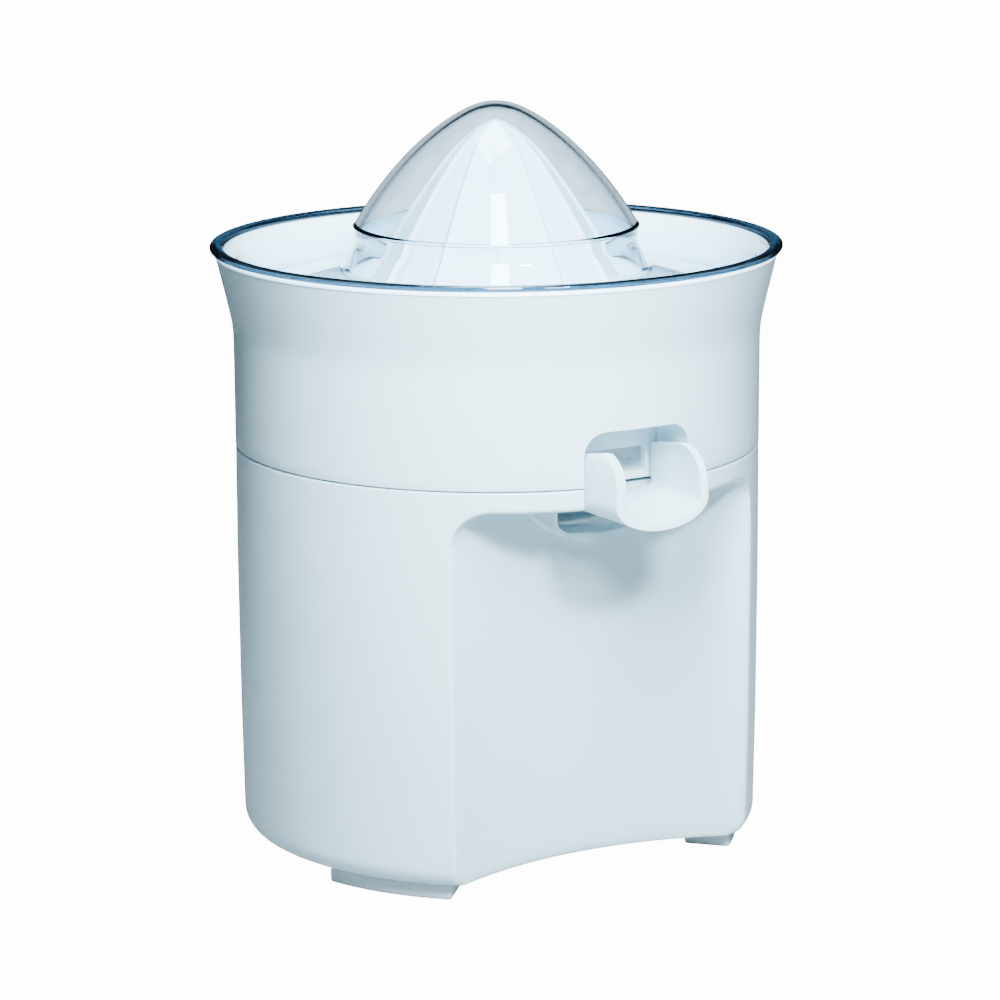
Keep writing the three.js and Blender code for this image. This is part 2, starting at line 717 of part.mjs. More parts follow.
// A point of the spout's skin. Share runs from the rear to the lip and side from cheek to
// cheek, -1 to 1; the inner skin is the outer one set in by the wall.
function spoutPoint(share, side, inset) {
  const between = (rear, lip) => rear + (lip - rear) * share;
  const floorShare = 0.6;
  const far = Math.abs(side);
  const half = between(spoutHalf, spoutLipHalf) - inset;
  const bottom = between(spoutRearZ, spoutLipZ) + inset;
  if (far <= floorShare) {
    const a = far / floorShare * Math.PI / 2;
    const roundness = between(0.4, 1);
    const x = Math.sign(side) * half * Math.sin(a) ** roundness;
    const rise = (spoutShoulderZ - bottom) * Math.cos(a) ** roundness;
    return [x, between(spoutRearY, spoutLipY), spoutShoulderZ - rise];
  }
  const up = (far - floorShare) / (1 - floorShare);
  const turn = Math.max(0, 2 * up - 1) * Math.PI / 2;
  const cornerZ = spoutTopZ - spoutCornerR;
  const straight = Math.min(1, 2 * up) * (cornerZ - spoutShoulderZ);
  const lipZ = spoutShoulderZ + straight + spoutCornerR * Math.sin(turn);
  const lipY = spoutLipY + spoutCornerR * (1 - Math.cos(turn));
  const rearZ = spoutShoulderZ + up * (spoutRearTopZ - spoutShoulderZ);
  const lean = share * spoutPinch * up * up;
  return [
    Math.sign(side) * (half - lean), between(spoutRearY, lipY), between(rearZ, lipZ),
  ];
}

// Skins a row of closed loops of points and caps both ends with a fan of quads.
function loft(loops) {
  const quads = [];
  const size = loops[0].length;
  for (let i = 0; i + 1 < loops.length; i += 1) {
    for (let j = 0; j < size; j += 1) {
      const k = (j + 1) % size;
      quads.push([loops[i][j], loops[i][k], loops[i + 1][k], loops[i + 1][j]]);
    }
  }
  const last = loops[loops.length - 1];
  for (let j = 0; j + 1 < size / 2; j += 1) {
    const k = size - 1 - j;
    quads.push([loops[0][j + 1], loops[0][j], loops[0][k], loops[0][k - 1]]);
    quads.push([last[j], last[j + 1], last[k - 1], last[k]]);
  }
  const corners = quads.flatMap(([a, b, c, d]) => [a, b, c, a, c, d]).flat();
  const geometry = new THREE.BufferGeometry();
  geometry.setAttribute('position', new THREE.Float32BufferAttribute(corners, 3));
  return solid(geometry);
}

function spout() {
  const stations = 6;
  const across = 24;
  const loops = [];
  for (let i = 0; i <= stations; i += 1) {
    const outer = [];
    const inner = [];
    for (let j = 0; j <= across; j += 1) {
      const side = -1 + 2 * j / across;
      outer.push(spoutPoint(i / stations, side, 0));
      inner.unshift(spoutPoint(i / stations, side, spoutWall));
    }
    loops.push([...outer, ...inner]);
  }
  const low = spoutLipZ - 10;
  const chamferZ = spoutRearZ + spoutRearChamfer;
  const rearCorners = sideCut([
    [-2 * ringR, low], [spoutRearY - (chamferZ - low), low], [spoutRearY, chamferZ],
    [spoutRearY, spoutRearTopZ - 3], [spoutRearY - 1.5, spoutRearTopZ],
    [spoutRearY - 1.5, 2 * spoutTopZ], [-2 * ringR, 2 * spoutTopZ],
  ], -ringR, ringR);
  const pinHoles = crossPin(pinR + runFit, -spoutHalf - 2, spoutHalf + 2, pivotY, pivotZ);
  return cut(loft(loops).intersect(rearCorners), pinHoles);
}

function spoutPin(side) {
  const inEnd = spoutHalf - spoutWall + gap;
  const outEnd = notchHalf + bowlWall;
  return side > 0
    ? crossPin(pinR, inEnd, outEnd, pivotY, pivotZ)
    : crossPin(pinR, -outEnd, -inEnd, pivotY, pivotZ);
}

// ---------------------------------------------------------------- cone
const coneBottomZ = strainerZ + 2 + pressTravel + 1.7;
const coneShoulderZ = coneBottomZ + 4;
const coneTopZ = coneBottomZ + coneH;

// Outer radius of the reamer at a share of its height; round-nosed.
function coneRadius(share) {
  return coneR * (1 - share) ** 0.62 * (1 - 0.1 * share);
}

function cone() {
  const outside = [];
  const inside = [];
  for (let i = 0; i <= 7; i += 1) {
    const share = i / 7;
    const z = coneShoulderZ + (coneTopZ - coneShoulderZ) * share;
    outside.push([i === 7 ? 0 : coneRadius(share), z]);
    if (i < 6) {
      inside.unshift([coneRadius(share) - coneWall, z - 1]);
    }
  }
  const shell = turned([
    [coneR + 1.5 - coneWall, coneBottomZ], [coneR + 1.5, coneBottomZ], ...outside,
    [0, coneTopZ - 6], ...inside,
  ], 24);
  const boss = cut(
    cylinder(driverR + gap + 1.6, coneBottomZ + 2, coneTopZ - 5.5),
    cylinder(driverR + gap, coneBottomZ, shaftTopZ + 1 + gap),
  );
  const ribs = [];
  for (let k = 0; k < ribCount; k += 1) {
    ribs.push(coneRib(k * 360 / ribCount));
  }
  return join(shell, boss, ...ribs);
}

// One reaming rib, standing proud of the cone from its foot to its nose.
function coneRib(degrees) {
  const proud = 1.5;
  const outside = [];
  const root = [];
  for (let i = 0; i <= 5; i += 1) {
    const share = 0.97 * i / 5;
    const z = coneShoulderZ + (coneTopZ - coneShoulderZ) * share;
    outside.push([coneRadius(share) + proud * (1 - share), z]);
    root.unshift([Math.max(0.4, coneRadius(share) - 1), z - 0.5]);
  }
  const shape = new THREE.Shape([...outside, ...root].map(([r, z]) => new THREE.Vector2(r, z)));
  const geometry = new THREE.ExtrudeGeometry(shape, { depth: 1.4, bevelEnabled: false });
  geometry.translate(0, 0, -0.7);
  geometry.rotateX(Math.PI / 2);
  geometry.rotateZ(THREE.MathUtils.degToRad(degrees));
  return solid(geometry);
}

const driverR = 6.5;

function coneDriver() {
  const bottom = coneBottomZ + 3;
  const tube = cylinder(driverR, bottom, shaftTopZ + 0.8);
  const bore = cylinder(hexR + gap, bottom - 5, shaftTopZ + 0.3, 0, 0, 6);
  const openTop = cylinder(1.2, shaftTopZ - 5, shaftTopZ + 5, 0, 0, 12);
  return cut(tube, bore, openTop);
}

// ---------------------------------------------------------------- clear cover
function dustCover() {
  const brimZ = ringBottomZ - brimDrop;
  const stepZ = ringTopZ + 4.8;
  const footRingZ = brimZ + 5.5;
  const apexZ = ringTopZ + domeH;
  const domeCurve = new THREE.CubicBezierCurve(
    new THREE.Vector2(domeR, stepZ),
    new THREE.Vector2(domeR - 6, stepZ + 0.3 * (apexZ - stepZ)),
    new THREE.Vector2(0.45 * domeR, apexZ - 4),
    new THREE.Vector2(0, apexZ),
  );
  const dome = domeCurve.getPoints(8).map((p) => [p.x, p.y]);
  const inner = domeCurve.getPoints(8).map((p, i, all) => {
    const before = all[Math.max(0, i - 1)];
    const after = all[Math.min(all.length - 1, i + 1)];
    const along = after.clone().sub(before).normalize();
    return [Math.max(0, p.x - Math.abs(along.y) * coverWall),
      p.y - Math.abs(along.x) * coverWall];
  });
  inner[inner.length - 1] = [0, apexZ - coverWall];
  return turned([
    ...dome.slice().reverse(),
    [domeR - 0.7, stepZ - 0.8], [domeR - 0.4, stepZ - 5], [domeR + 2.8, footRingZ],
    [ringR - 10.2, brimZ], [ringR - 5, ringBottomZ - 2], [ringR - 3.6, ringTopZ],
    [ringR, ringTopZ], [ringR, ringBottomZ], [rimR - bowlWall - 0.5, ringBottomZ],
    [ringR - 6.6, ringBottomZ - 6], [ringR - 9.4, brimZ - coverWall],
    [domeR + 1.6, footRingZ - coverWall], [domeR - 2.4, stepZ - 5], [domeR - 2.5, stepZ],
    ...inner.slice(1),
  ]);
}

// ---------------------------------------------------------------- assembly
addPiece('base_housing', baseHousing(), whitePlastic);
addPiece('bottom_cover', bottomCover(), whitePlastic);
addPiece('cord_gland', cordGland(), rubber);
addPiece('foot_front_left', foot(-90 - 59.5), footPlastic);
addPiece('foot_front_right', foot(-90 + 59.5), footPlastic);
addPiece('foot_rear_left', foot(90 + 50), footPlastic);
addPiece('foot_rear_right', foot(90 - 50), footPlastic);
postSpots.forEach(([x, y], i) => {
  addPiece(`bottom_screw_${i + 1}`, screw(x, y, baseZ + 0.4, 15), steel);
});
addPiece('terminal_block', terminalBlock(), darkPlastic);

addPiece('motor_core', motorCore(), laminated);
addPiece('motor_coil', motorCoil(), copper);
addPiece('motor_rotor', motorRotor(), steel);
addPiece('motor_lower_bracket', motorBracket(lowerBracketZ, lowerBracketZ + 2, coreBottomZ - gap), steel);
addPiece('motor_upper_bracket',
  motorBracket(upperBracketZ, upperBracketZ + 2 - gap, coreBottomZ + coreH + gap), steel);
addPiece('motor_screw_right', motorScrew(1), steel);
addPiece('motor_screw_left', motorScrew(-1), steel);

addPiece('gearbox_housing', gearboxHousing(), greyPlastic);
addPiece('gearbox_cover', gearboxCover(), greyPlastic);
gearboxSpots.forEach((spot, i) => {
  addPiece(`gearbox_screw_${i + 1}`, gearboxScrew(spot), steel);
});
addPiece('intermediate_axle', intermediateAxle(), steel);
addPiece('intermediate_gear', intermediateGear(), gearPlastic);
addPiece('output_gear', outputGear(), gearPlastic);
addPiece('drive_shaft', driveShaft(), steel);
addPiece('lower_bush', lowerBush(), bronze);
addPiece('upper_bush', upperBush(), bronze);
addPiece('shaft_seal', shaftSeal(), rubber);
addPiece('return_spring', returnSpring(), steel);
addPiece('micro_switch', microSwitch(), darkPlastic);
addPiece('switch_lever', switchLever(), steel);

addPiece('juice_bowl', juiceBowl(), whitePlastic);
addPiece('strainer', strainer(), whitePlastic);
addPiece('spout', spout(), whitePlastic);
addPiece('spout_pin_left', spoutPin(-1), steel);
addPiece('spout_pin_right', spoutPin(1), steel);
addPiece('cone', cone(), whitePlastic);
addPiece('cone_driver', coneDriver(), greyPlastic);
addPiece('dust_cover', dustCover(), clearPlastic);

export default press;
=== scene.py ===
"""Electric citrus press: white moulded base and juice bowl, ribbed cone under a clear domed cover."""
import math

import bmesh
import bpy
import numpy as np
from mathutils import Matrix, Vector


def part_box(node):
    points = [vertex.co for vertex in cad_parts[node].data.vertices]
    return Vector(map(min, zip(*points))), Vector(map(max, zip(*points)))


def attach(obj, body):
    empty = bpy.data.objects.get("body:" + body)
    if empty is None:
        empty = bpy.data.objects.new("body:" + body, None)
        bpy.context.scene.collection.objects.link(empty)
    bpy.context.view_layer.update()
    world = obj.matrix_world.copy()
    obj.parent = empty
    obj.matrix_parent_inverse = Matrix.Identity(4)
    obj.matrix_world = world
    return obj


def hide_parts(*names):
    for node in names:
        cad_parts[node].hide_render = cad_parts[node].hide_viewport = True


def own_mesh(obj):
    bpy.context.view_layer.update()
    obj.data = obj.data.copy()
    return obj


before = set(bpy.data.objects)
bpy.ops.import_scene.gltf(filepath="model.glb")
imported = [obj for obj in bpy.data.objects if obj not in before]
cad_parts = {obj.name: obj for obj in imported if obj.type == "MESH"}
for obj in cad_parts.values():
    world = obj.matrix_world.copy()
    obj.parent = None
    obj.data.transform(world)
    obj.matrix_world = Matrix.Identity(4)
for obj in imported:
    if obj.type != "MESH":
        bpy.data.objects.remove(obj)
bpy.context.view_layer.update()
MM = 0.001


# ---------------------------------------------------------------- sizes read from the frame
def reach(node):
    """Lowest and highest corner of a frame node, in millimetres."""
    low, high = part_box(node)
    return np.array(low) / MM, np.array(high) / MM


BASE_LOW, BASE_HIGH = reach("base_housing")
BOWL_HIGH = reach("juice_bowl")[1]
COVER_LOW, COVER_HIGH = reach("dust_cover")
SPOUT_LOW, SPOUT_HIGH = reach("spout")
CONE_LOW, CONE_HIGH = reach("cone")
STRAINER_LOW, STRAINER_HIGH = reach("strainer")
FOOT_HIGH = reach("foot_front_right")[1]
SHEET_LOW, SHEET_HIGH = reach("bottom_cover")
SPRING_LOW, SPRING_HIGH = reach("return_spring")

BODY_R = BASE_HIGH[0]
RIM_Z = BOWL_HIGH[2]
TOWER_TOP = BASE_HIGH[2]
JOINT_Z = 117.8
BOWL_FOOT = JOINT_Z + 0.35
DECK_LOW = 111.8
DECK_TOP = 114.2
WALL = 2.2
BAY_R = 115.0
BAY_DEEP = 46.0
BAY_AXIS_Y = -(BAY_DEEP + BAY_R)
BAY_CORNER = 9.0
BAY_EDGE = 2.2
UNDERSIDE_R = 69.9
FLOOR_Z = 117.7
APRON_HALF = 26.0            # collar under the spout
APRON_LOW = 98.2
APRON_Y = -57.0
PORT_HALF = 15.2             # recess in the collar
PORT_FLOOR = 100.8
PORT_BACK = -30.0


# ---------------------------------------------------------------- mesh helpers
def finish_mesh(name, verts, faces, crease=38):
    mesh = bpy.data.meshes.new(name)
    mesh.from_pydata([tuple(MM * c for c in v) for v in verts], [], faces)
    obj = bpy.data.objects.new(name, mesh)
    bpy.context.scene.collection.objects.link(obj)
    tidy(obj, crease)
    return obj


def tidy(obj, crease=38):
    """Welds doubles, points the faces outward and smooths all but the crisp edges."""
    bm = bmesh.new()
    bm.from_mesh(obj.data)
    bmesh.ops.remove_doubles(bm, verts=bm.verts, dist=2e-6)
    bmesh.ops.dissolve_degenerate(bm, edges=bm.edges, dist=1e-7)
    bmesh.ops.recalc_face_normals(bm, faces=bm.faces)
    limit = math.radians(crease)
    for face in bm.faces:
        face.smooth = True
    for edge in bm.edges:
        edge.smooth = len(edge.link_faces) == 2 and edge.calc_face_angle(0) < limit
    bm.to_mesh(obj.data)
    bm.free()


def apply_modifiers(obj):
    graph = bpy.context.evaluated_depsgraph_get()
    mesh = bpy.data.meshes.new_from_object(obj.evaluated_get(graph))
    obj.modifiers.clear()
    obj.data = mesh


def combine(target, tool, how="DIFFERENCE"):
    step = target.modifiers.new(how.lower(), "BOOLEAN")
    step.operation = how
    step.object = tool
    step.solver = "EXACT"
    apply_modifiers(target)
    bpy.data.objects.remove(tool)
    return target


def rounded(corners, steps=5, closed=True):
    """An outline with its corners rounded: corners are (x, y, radius)."""
    points = []
    count = len(corners)
    for i, (x, y, radius) in enumerate(corners):
        here = np.array([x, y], float)
        ends = not closed and i in (0, count - 1)
        if radius <= 0 or ends:
            points.append(here)
            continue
        before = np.array(corners[i - 1][:2], float) - here
        after = np.array(corners[(i + 1) % count][:2], float) - here
        a, b = np.linalg.norm(before), np.linalg.norm(after)
        before, after = before / a, after / b
        half = math.acos(max(-1, min(1, before @ after))) / 2
        if math.pi / 2 - half < 0.01:
            points.append(here)
            continue
        setback = min(radius / math.tan(half), 0.49 * a, 0.49 * b)
        r = setback * math.tan(half)
        centre = here + (before + after) / np.linalg.norm(before + after) * r / math.sin(half)
        start, end = here + before * setback - centre, here + after * setback - centre
        turn = math.atan2(start[0] * end[1] - start[1] * end[0], start @ end)
        for k in range(steps + 1):
            t = turn * k / steps
            c, s = math.cos(t), math.sin(t)
            points.append(centre + np.array([c * start[0] - s * start[1], s * start[0] + c * start[1]]))
    return points


def turned(name, outline, around=180, crease=38):
    """A body of revolution about Z; the outline closes on itself or starts and ends on the axis."""
    on_axis = outline[0][0] < 1e-6 and outline[-1][0] < 1e-6
    verts, faces = [], []
    for k in range(around):
        a = 2 * math.pi * k / around
        verts += [(r * math.cos(a), r * math.sin(a), z) for r, z in outline]
    size = len(outline)
    for k in range(around):
        here, there = k * size, (k + 1) % around * size
        for i in range(size - 1 if on_axis else size):
            j = (i + 1) % size
            faces.append((here + i, there + i, there + j, here + j))
    return finish_mesh(name, verts, faces, crease)


def loft(name, sections, wrap=True, crease=38):
    """Skins closed sections, each a list of points of the same length."""
    size, count = len(sections[0]), len(sections)
    verts = [p for section in sections for p in section]
    faces = []
    for k in range(count if wrap else count - 1):
        here, there = k * size, (k + 1) % count * size
        for i in range(size):
            j = (i + 1) % size
            faces.append((here + i, there + i, there + j, here + j))
    if not wrap:
        faces.append(tuple(range(size)))
        faces.append(tuple(range((count - 1) * size, count * size)))
    return finish_mesh(name, verts, faces, crease)


def prism(name, outline, axis, start, end, crease=38):
    """An outline carried along X, Y or Z from start to end."""
    def place(a, b, depth):
        return {"X": (depth, a, b), "Y": (a, depth, b), "Z": (a, b, depth)}[axis]
    sections = [[place(a, b, d) for a, b in outline] for d in (start, end)]
    return loft(name, sections, wrap=False, crease=crease)


def ring_arc(r, low, high, steps):
    angles = np.linspace(math.radians(low), math.radians(high), steps + 1)
    return [(r * math.cos(a), r * math.sin(a)) for a in angles]


def bevelled(obj, width, segments=3, angle=35):
    step = obj.modifiers.new("edge rounding", "BEVEL")
    step.width = width * MM
    step.segments = segments
    step.limit_method = "ANGLE"
    step.angle_limit = math.radians(angle)
    step.harden_normals = False
    apply_modifiers(obj)
    tidy(obj, 50)
    return obj


# ---------------------------------------------------------------- shader helpers
class Graph:
    """Short way to add and wire nodes in one node tree."""

    def __init__(self, tree):
        self.tree = tree

    def add(self, kind, inputs=None, **settings):
        node = self.tree.nodes.new(kind)
        for key, value in settings.items():
            setattr(node, key, value)
        for key, value in (inputs or {}).items():
            if isinstance(value, bpy.types.NodeSocket):
                self.tree.links.new(value, node.inputs[key])
            else:
                node.inputs[key].default_value = value
        return node

    def noise(self, where, scale, detail=3.0, rough=0.5):
        node = self.add("ShaderNodeTexNoise", {"Vector": where, "Scale": scale, "Detail": detail,
                                               "Roughness": rough})
        return node.outputs["Fac"]

    def remap(self, value, low, high, out_low=0.0, out_high=1.0):
        node = self.add("ShaderNodeMapRange", {"Value": value, "From Min": low, "From Max": high,
                                               "To Min": out_low, "To Max": out_high})
        return node.outputs["Result"]

    def math(self, operation, a, b=0.0):
        return self.add("ShaderNodeMath", {0: a, 1: b}, operation=operation).outputs[0]

    def mix(self, share, a, b, blend="MIX"):
        node = self.add("ShaderNodeMix", {"Factor": share, 6: a, 7: b},
                        data_type="RGBA", blend_type=blend)
        return node.outputs[2]


def effect_group(name, sockets, outputs):
    tree = bpy.data.node_groups.new(name, "ShaderNodeTree")
    for label, kind, value in sockets:
        socket = tree.interface.new_socket(label, in_out="INPUT", socket_type=kind)
        socket.default_value = value
    for label, kind in outputs:
        tree.interface.new_socket(label, in_out="OUTPUT", socket_type=kind)
    graph = Graph(tree)
    source = graph.add("NodeGroupInput")
    result = graph.add("NodeGroupOutput")
    return tree, graph, source, result


FLOAT, COLOUR = "NodeSocketFloat", "NodeSocketColor"


def moulding_group():
    """Moulded plastic: faint cloudy tone, fine sink ripple and handling haze."""
    tree, g, source, result = effect_group(
        "moulded_surface",
        [("Tone", COLOUR, (0.8, 0.8, 0.8, 1)), ("Shade", COLOUR, (0.7, 0.7, 0.7, 1)),
         ("Gloss", FLOAT, 0.3), ("Haze", FLOAT, 0.1), ("Grain", FLOAT, 900.0)],
        [("Color", COLOUR), ("Roughness", FLOAT), ("Height", FLOAT)])
    where = g.add("ShaderNodeTexCoord").outputs["Object"]
    cloud = g.remap(g.noise(where, 18.0, 4.0), 0.35, 0.7)
    speck = g.remap(g.noise(where, source.outputs["Grain"], 2.0), 0.3, 0.7)
    smear = g.remap(g.noise(where, 55.0, 5.0, 0.65), 0.45, 0.75)
    tone = g.mix(cloud, source.outputs["Tone"], source.outputs["Shade"])
    g.tree.links.new(tone, result.inputs["Color"])
    rough = g.math("ADD", source.outputs["Gloss"], g.math("MULTIPLY", smear, source.outputs["Haze"]))
    g.tree.links.new(rough, result.inputs["Roughness"])
    height = g.math("ADD", g.math("MULTIPLY", speck, 0.25), g.noise(where, 120.0, 2.0))
    g.tree.links.new(height, result.inputs["Height"])
    return tree


def wear_group():
    """Lighter rubbed edges and settled dust on faces that look up."""
    tree, g, source, result = effect_group(
        "edge_and_dust",
        [("Base", COLOUR, (0.8, 0.8, 0.8, 1)), ("Rubbed", COLOUR, (0.9, 0.9, 0.9, 1)),
         ("Dust", COLOUR, (0.75, 0.74, 0.7, 1)), ("Rub", FLOAT, 0.5), ("Settle", FLOAT, 0.1)],
        [("Color", COLOUR), ("Mask", FLOAT)])
    geometry = g.add("ShaderNodeNewGeometry")
    where = g.add("ShaderNodeTexCoord").outputs["Object"]
    crest = g.remap(geometry.outputs["Pointiness"], 0.52, 0.6)
    patchy = g.remap(g.noise(where, 160.0, 4.0), 0.35, 0.65)
    rub = g.math("MULTIPLY", g.math("MULTIPLY", crest, patchy), source.outputs["Rub"])
    up = g.add("ShaderNodeSeparateXYZ", {0: geometry.outputs["Normal"]}).outputs["Z"]
    flat = g.math("MULTIPLY", g.remap(up, 0.6, 1.0), g.remap(g.noise(where, 40.0, 5.0), 0.4, 0.75))
    settle = g.math("MULTIPLY", flat, source.outputs["Settle"])
    rubbed = g.mix(rub, source.outputs["Base"], source.outputs["Rubbed"])
    g.tree.links.new(g.mix(settle, rubbed, source.outputs["Dust"]), result.inputs["Color"])
    g.tree.links.new(rub, result.inputs["Mask"])
    return tree


def brushed_group():
    """Turned or drawn metal: fine lines round or along the part."""
    tree, g, source, result = effect_group(
        "drawn_metal",
        [("Tone", COLOUR, (0.6, 0.6, 0.6, 1)), ("Dull", COLOUR, (0.4, 0.4, 0.4, 1)),
         ("Gloss", FLOAT, 0.25), ("Lines", FLOAT, 3000.0)],
        [("Color", COLOUR), ("Roughness", FLOAT), ("Height", FLOAT)])
    where = g.add("ShaderNodeTexCoord").outputs["Object"]
    stretched = g.add("ShaderNodeMapping", {"Vector": where, "Scale": (0.04, 0.04, 1.0)}).outputs[0]
    lines = g.noise(stretched, source.outputs["Lines"], 2.0)
    stain = g.remap(g.noise(where, 90.0, 4.0), 0.4, 0.75)
    tone = g.mix(g.math("MULTIPLY", stain, 0.6), source.outputs["Tone"], source.outputs["Dull"])
    g.tree.links.new(tone, result.inputs["Color"])
    rough = g.math("ADD", source.outputs["Gloss"], g.math("MULTIPLY", lines, 0.18))
    g.tree.links.new(rough, result.inputs["Roughness"])
    g.tree.links.new(lines, result.inputs["Height"])
    return tree


MOULDED = moulding_group()
WORN = wear_group()
DRAWN = brushed_group()


def new_material(name):
    material = bpy.data.materials.new(name)
    material.use_nodes = True
    tree = material.node_tree
    shader = next(n for n in tree.nodes if n.type == "BSDF_PRINCIPLED")
    return material, Graph(tree), shader


def place_group(graph, tree, values):
    node = graph.tree.nodes.new("ShaderNodeGroup")
    node.node_tree = tree
    for key, value in values.items():
        if isinstance(value, bpy.types.NodeSocket):
            graph.tree.links.new(value, node.inputs[key])
        else:
            node.inputs[key].default_value = value
    return node


def moulded(name, tone, shade, gloss, haze=0.08, grain=900.0, bump=0.08, rub=0.3, settle=0.0,
            rubbed=None, specular=0.5, coat=0.0, through=0.0):
    material, g, shader = new_material(name)
    skin = place_group(g, MOULDED, {"Tone": (*tone, 1), "Shade": (*shade, 1), "Gloss": gloss,
                                    "Haze": haze, "Grain": grain})
    worn = place_group(g, WORN, {"Base": skin.outputs["Color"], "Rub": rub, "Settle": settle,
                                 "Rubbed": (*(rubbed or tone), 1)})
    g.tree.links.new(worn.outputs["Color"], shader.inputs["Base Color"])
    g.tree.links.new(skin.outputs["Roughness"], shader.inputs["Roughness"])
    relief = g.add("ShaderNodeBump", {"Strength": bump, "Distance": 0.0002,
                                      "Height": skin.outputs["Height"]})
    g.tree.links.new(relief.outputs["Normal"], shader.inputs["Normal"])
    shader.inputs["Specular IOR Level"].default_value = specular
    shader.inputs["Coat Weight"].default_value = coat
    shader.inputs["Coat Roughness"].default_value = 0.12
    if through:
        shader.inputs["Subsurface Weight"].default_value = through
        shader.inputs["Subsurface Radius"].default_value = (0.002, 0.0024, 0.0026)
        shader.inputs["Subsurface Scale"].default_value = 1.0
    return material


def metal(name, tone, dull, gloss, lines=3000.0, bump=0.15):
    material, g, shader = new_material(name)
    skin = place_group(g, DRAWN, {"Tone": (*tone, 1), "Dull": (*dull, 1), "Gloss": gloss,
                                  "Lines": lines})
    worn = place_group(g, WORN, {"Base": skin.outputs["Color"], "Rub": 0.5, "Settle": 0.05,
                                 "Rubbed": (*[min(1, 1.25 * c) for c in tone], 1)})
    g.tree.links.new(worn.outputs["Color"], shader.inputs["Base Color"])
    g.tree.links.new(skin.outputs["Roughness"], shader.inputs["Roughness"])
    relief = g.add("ShaderNodeBump", {"Strength": bump, "Distance": 0.0001,
                                      "Height": skin.outputs["Height"]})
    g.tree.links.new(relief.outputs["Normal"], shader.inputs["Normal"])
    shader.inputs["Metallic"].default_value = 1.0
    return material


def clear_plastic(name):
    """Polished clear cover: faint moulding swirl, blue-green where the light runs along it, and a rim ring
    painted dark navy as painted shade.
    """
    material, g, shader = new_material(name)
    where = g.add("ShaderNodeTexCoord").outputs["Object"]
    haze = g.remap(g.noise(where, 60.0, 4.0), 0.4, 0.8, 0.02, 0.06)
    g.tree.links.new(haze, shader.inputs["Roughness"])
    relief = g.add("ShaderNodeBump", {"Strength": 0.04, "Distance": 0.0003,
                                      "Height": g.noise(where, 45.0, 2.0)})
    g.tree.links.new(relief.outputs["Normal"], shader.inputs["Normal"])
    flat = g.add("ShaderNodeVectorMath", {0: where, 1: (1, 1, 0)}, operation="MULTIPLY")
    radius = g.add("ShaderNodeVectorMath", {0: flat.outputs[0]}, operation="LENGTH")
    # painted shade: from 78.2 mm out the clear lip's colour turns dark navy, painting the dark that its
    # edge shows
    edge = g.remap(radius.outputs["Value"], 0.0782, 0.0787)
    tone = g.mix(edge, (0.97, 0.99, 1.0, 1), (0.025, 0.07, 0.12, 1))
    g.tree.links.new(tone, shader.inputs["Base Color"])
    shader.inputs["IOR"].default_value = 1.49
    shader.inputs["Transmission Weight"].default_value = 1.0
    output = next(n for n in g.tree.nodes if n.type == "OUTPUT_MATERIAL")
    tint = g.add("ShaderNodeVolumeAbsorption", {"Color": (0.30, 0.52, 0.66, 1), "Density": 260.0})
    g.tree.links.new(tint.outputs[0], output.inputs["Volume"])
    return material


def laminated(name):
    """Stacked motor sheets: dark lines one sheet apart."""
    material, g, shader = new_material(name)
    where = g.add("ShaderNodeTexCoord").outputs["Object"]
    height = g.add("ShaderNodeSeparateXYZ", {0: where}).outputs["Z"]
    sheet = g.math("FRACT", g.math("MULTIPLY", height, 2000.0))
    groove = g.remap(g.math("ABSOLUTE", g.math("SUBTRACT", sheet, 0.5)), 0.36, 0.5)
    rust = g.remap(g.noise(where, 140.0, 5.0), 0.45, 0.75)
    tone = g.mix(rust, (0.33, 0.34, 0.36, 1), (0.24, 0.2, 0.17, 1))
    g.tree.links.new(g.mix(groove, tone, (0.05, 0.05, 0.055, 1)), shader.inputs["Base Color"])
    g.tree.links.new(g.remap(rust, 0.0, 1.0, 0.35, 0.6), shader.inputs["Roughness"])
    shader.inputs["Metallic"].default_value = 0.85
    relief = g.add("ShaderNodeBump", {"Strength": 0.5, "Distance": 0.0001, "Height": groove},
                   invert=True)
    g.tree.links.new(relief.outputs["Normal"], shader.inputs["Normal"])
    return material


def winding(name):
    """Enamelled copper wire, wound turn by turn."""
    material, g, shader = new_material(name)
    where = g.add("ShaderNodeTexCoord").outputs["Object"]
    across = g.add("ShaderNodeSeparateXYZ", {0: where}).outputs["X"]
    wire = g.math("ABSOLUTE", g.math("SINE", g.math("MULTIPLY", across, math.pi / 0.0004)))
    tone = g.mix(g.remap(g.noise(where, 200.0, 3.0), 0.3, 0.7), (0.62, 0.27, 0.10, 1),
                 (0.42, 0.16, 0.06, 1))
    g.tree.links.new(g.mix(g.remap(wire, 0.0, 0.35), (0.12, 0.05, 0.03, 1), tone),
                     shader.inputs["Base Color"])
    g.tree.links.new(g.remap(wire, 0.0, 1.0, 0.5, 0.25), shader.inputs["Roughness"])
    shader.inputs["Metallic"].default_value = 0.7
    relief = g.add("ShaderNodeBump", {"Strength": 0.8, "Distance": 0.0002, "Height": wire})
    g.tree.links.new(relief.outputs["Normal"], shader.inputs["Normal"])
    return material


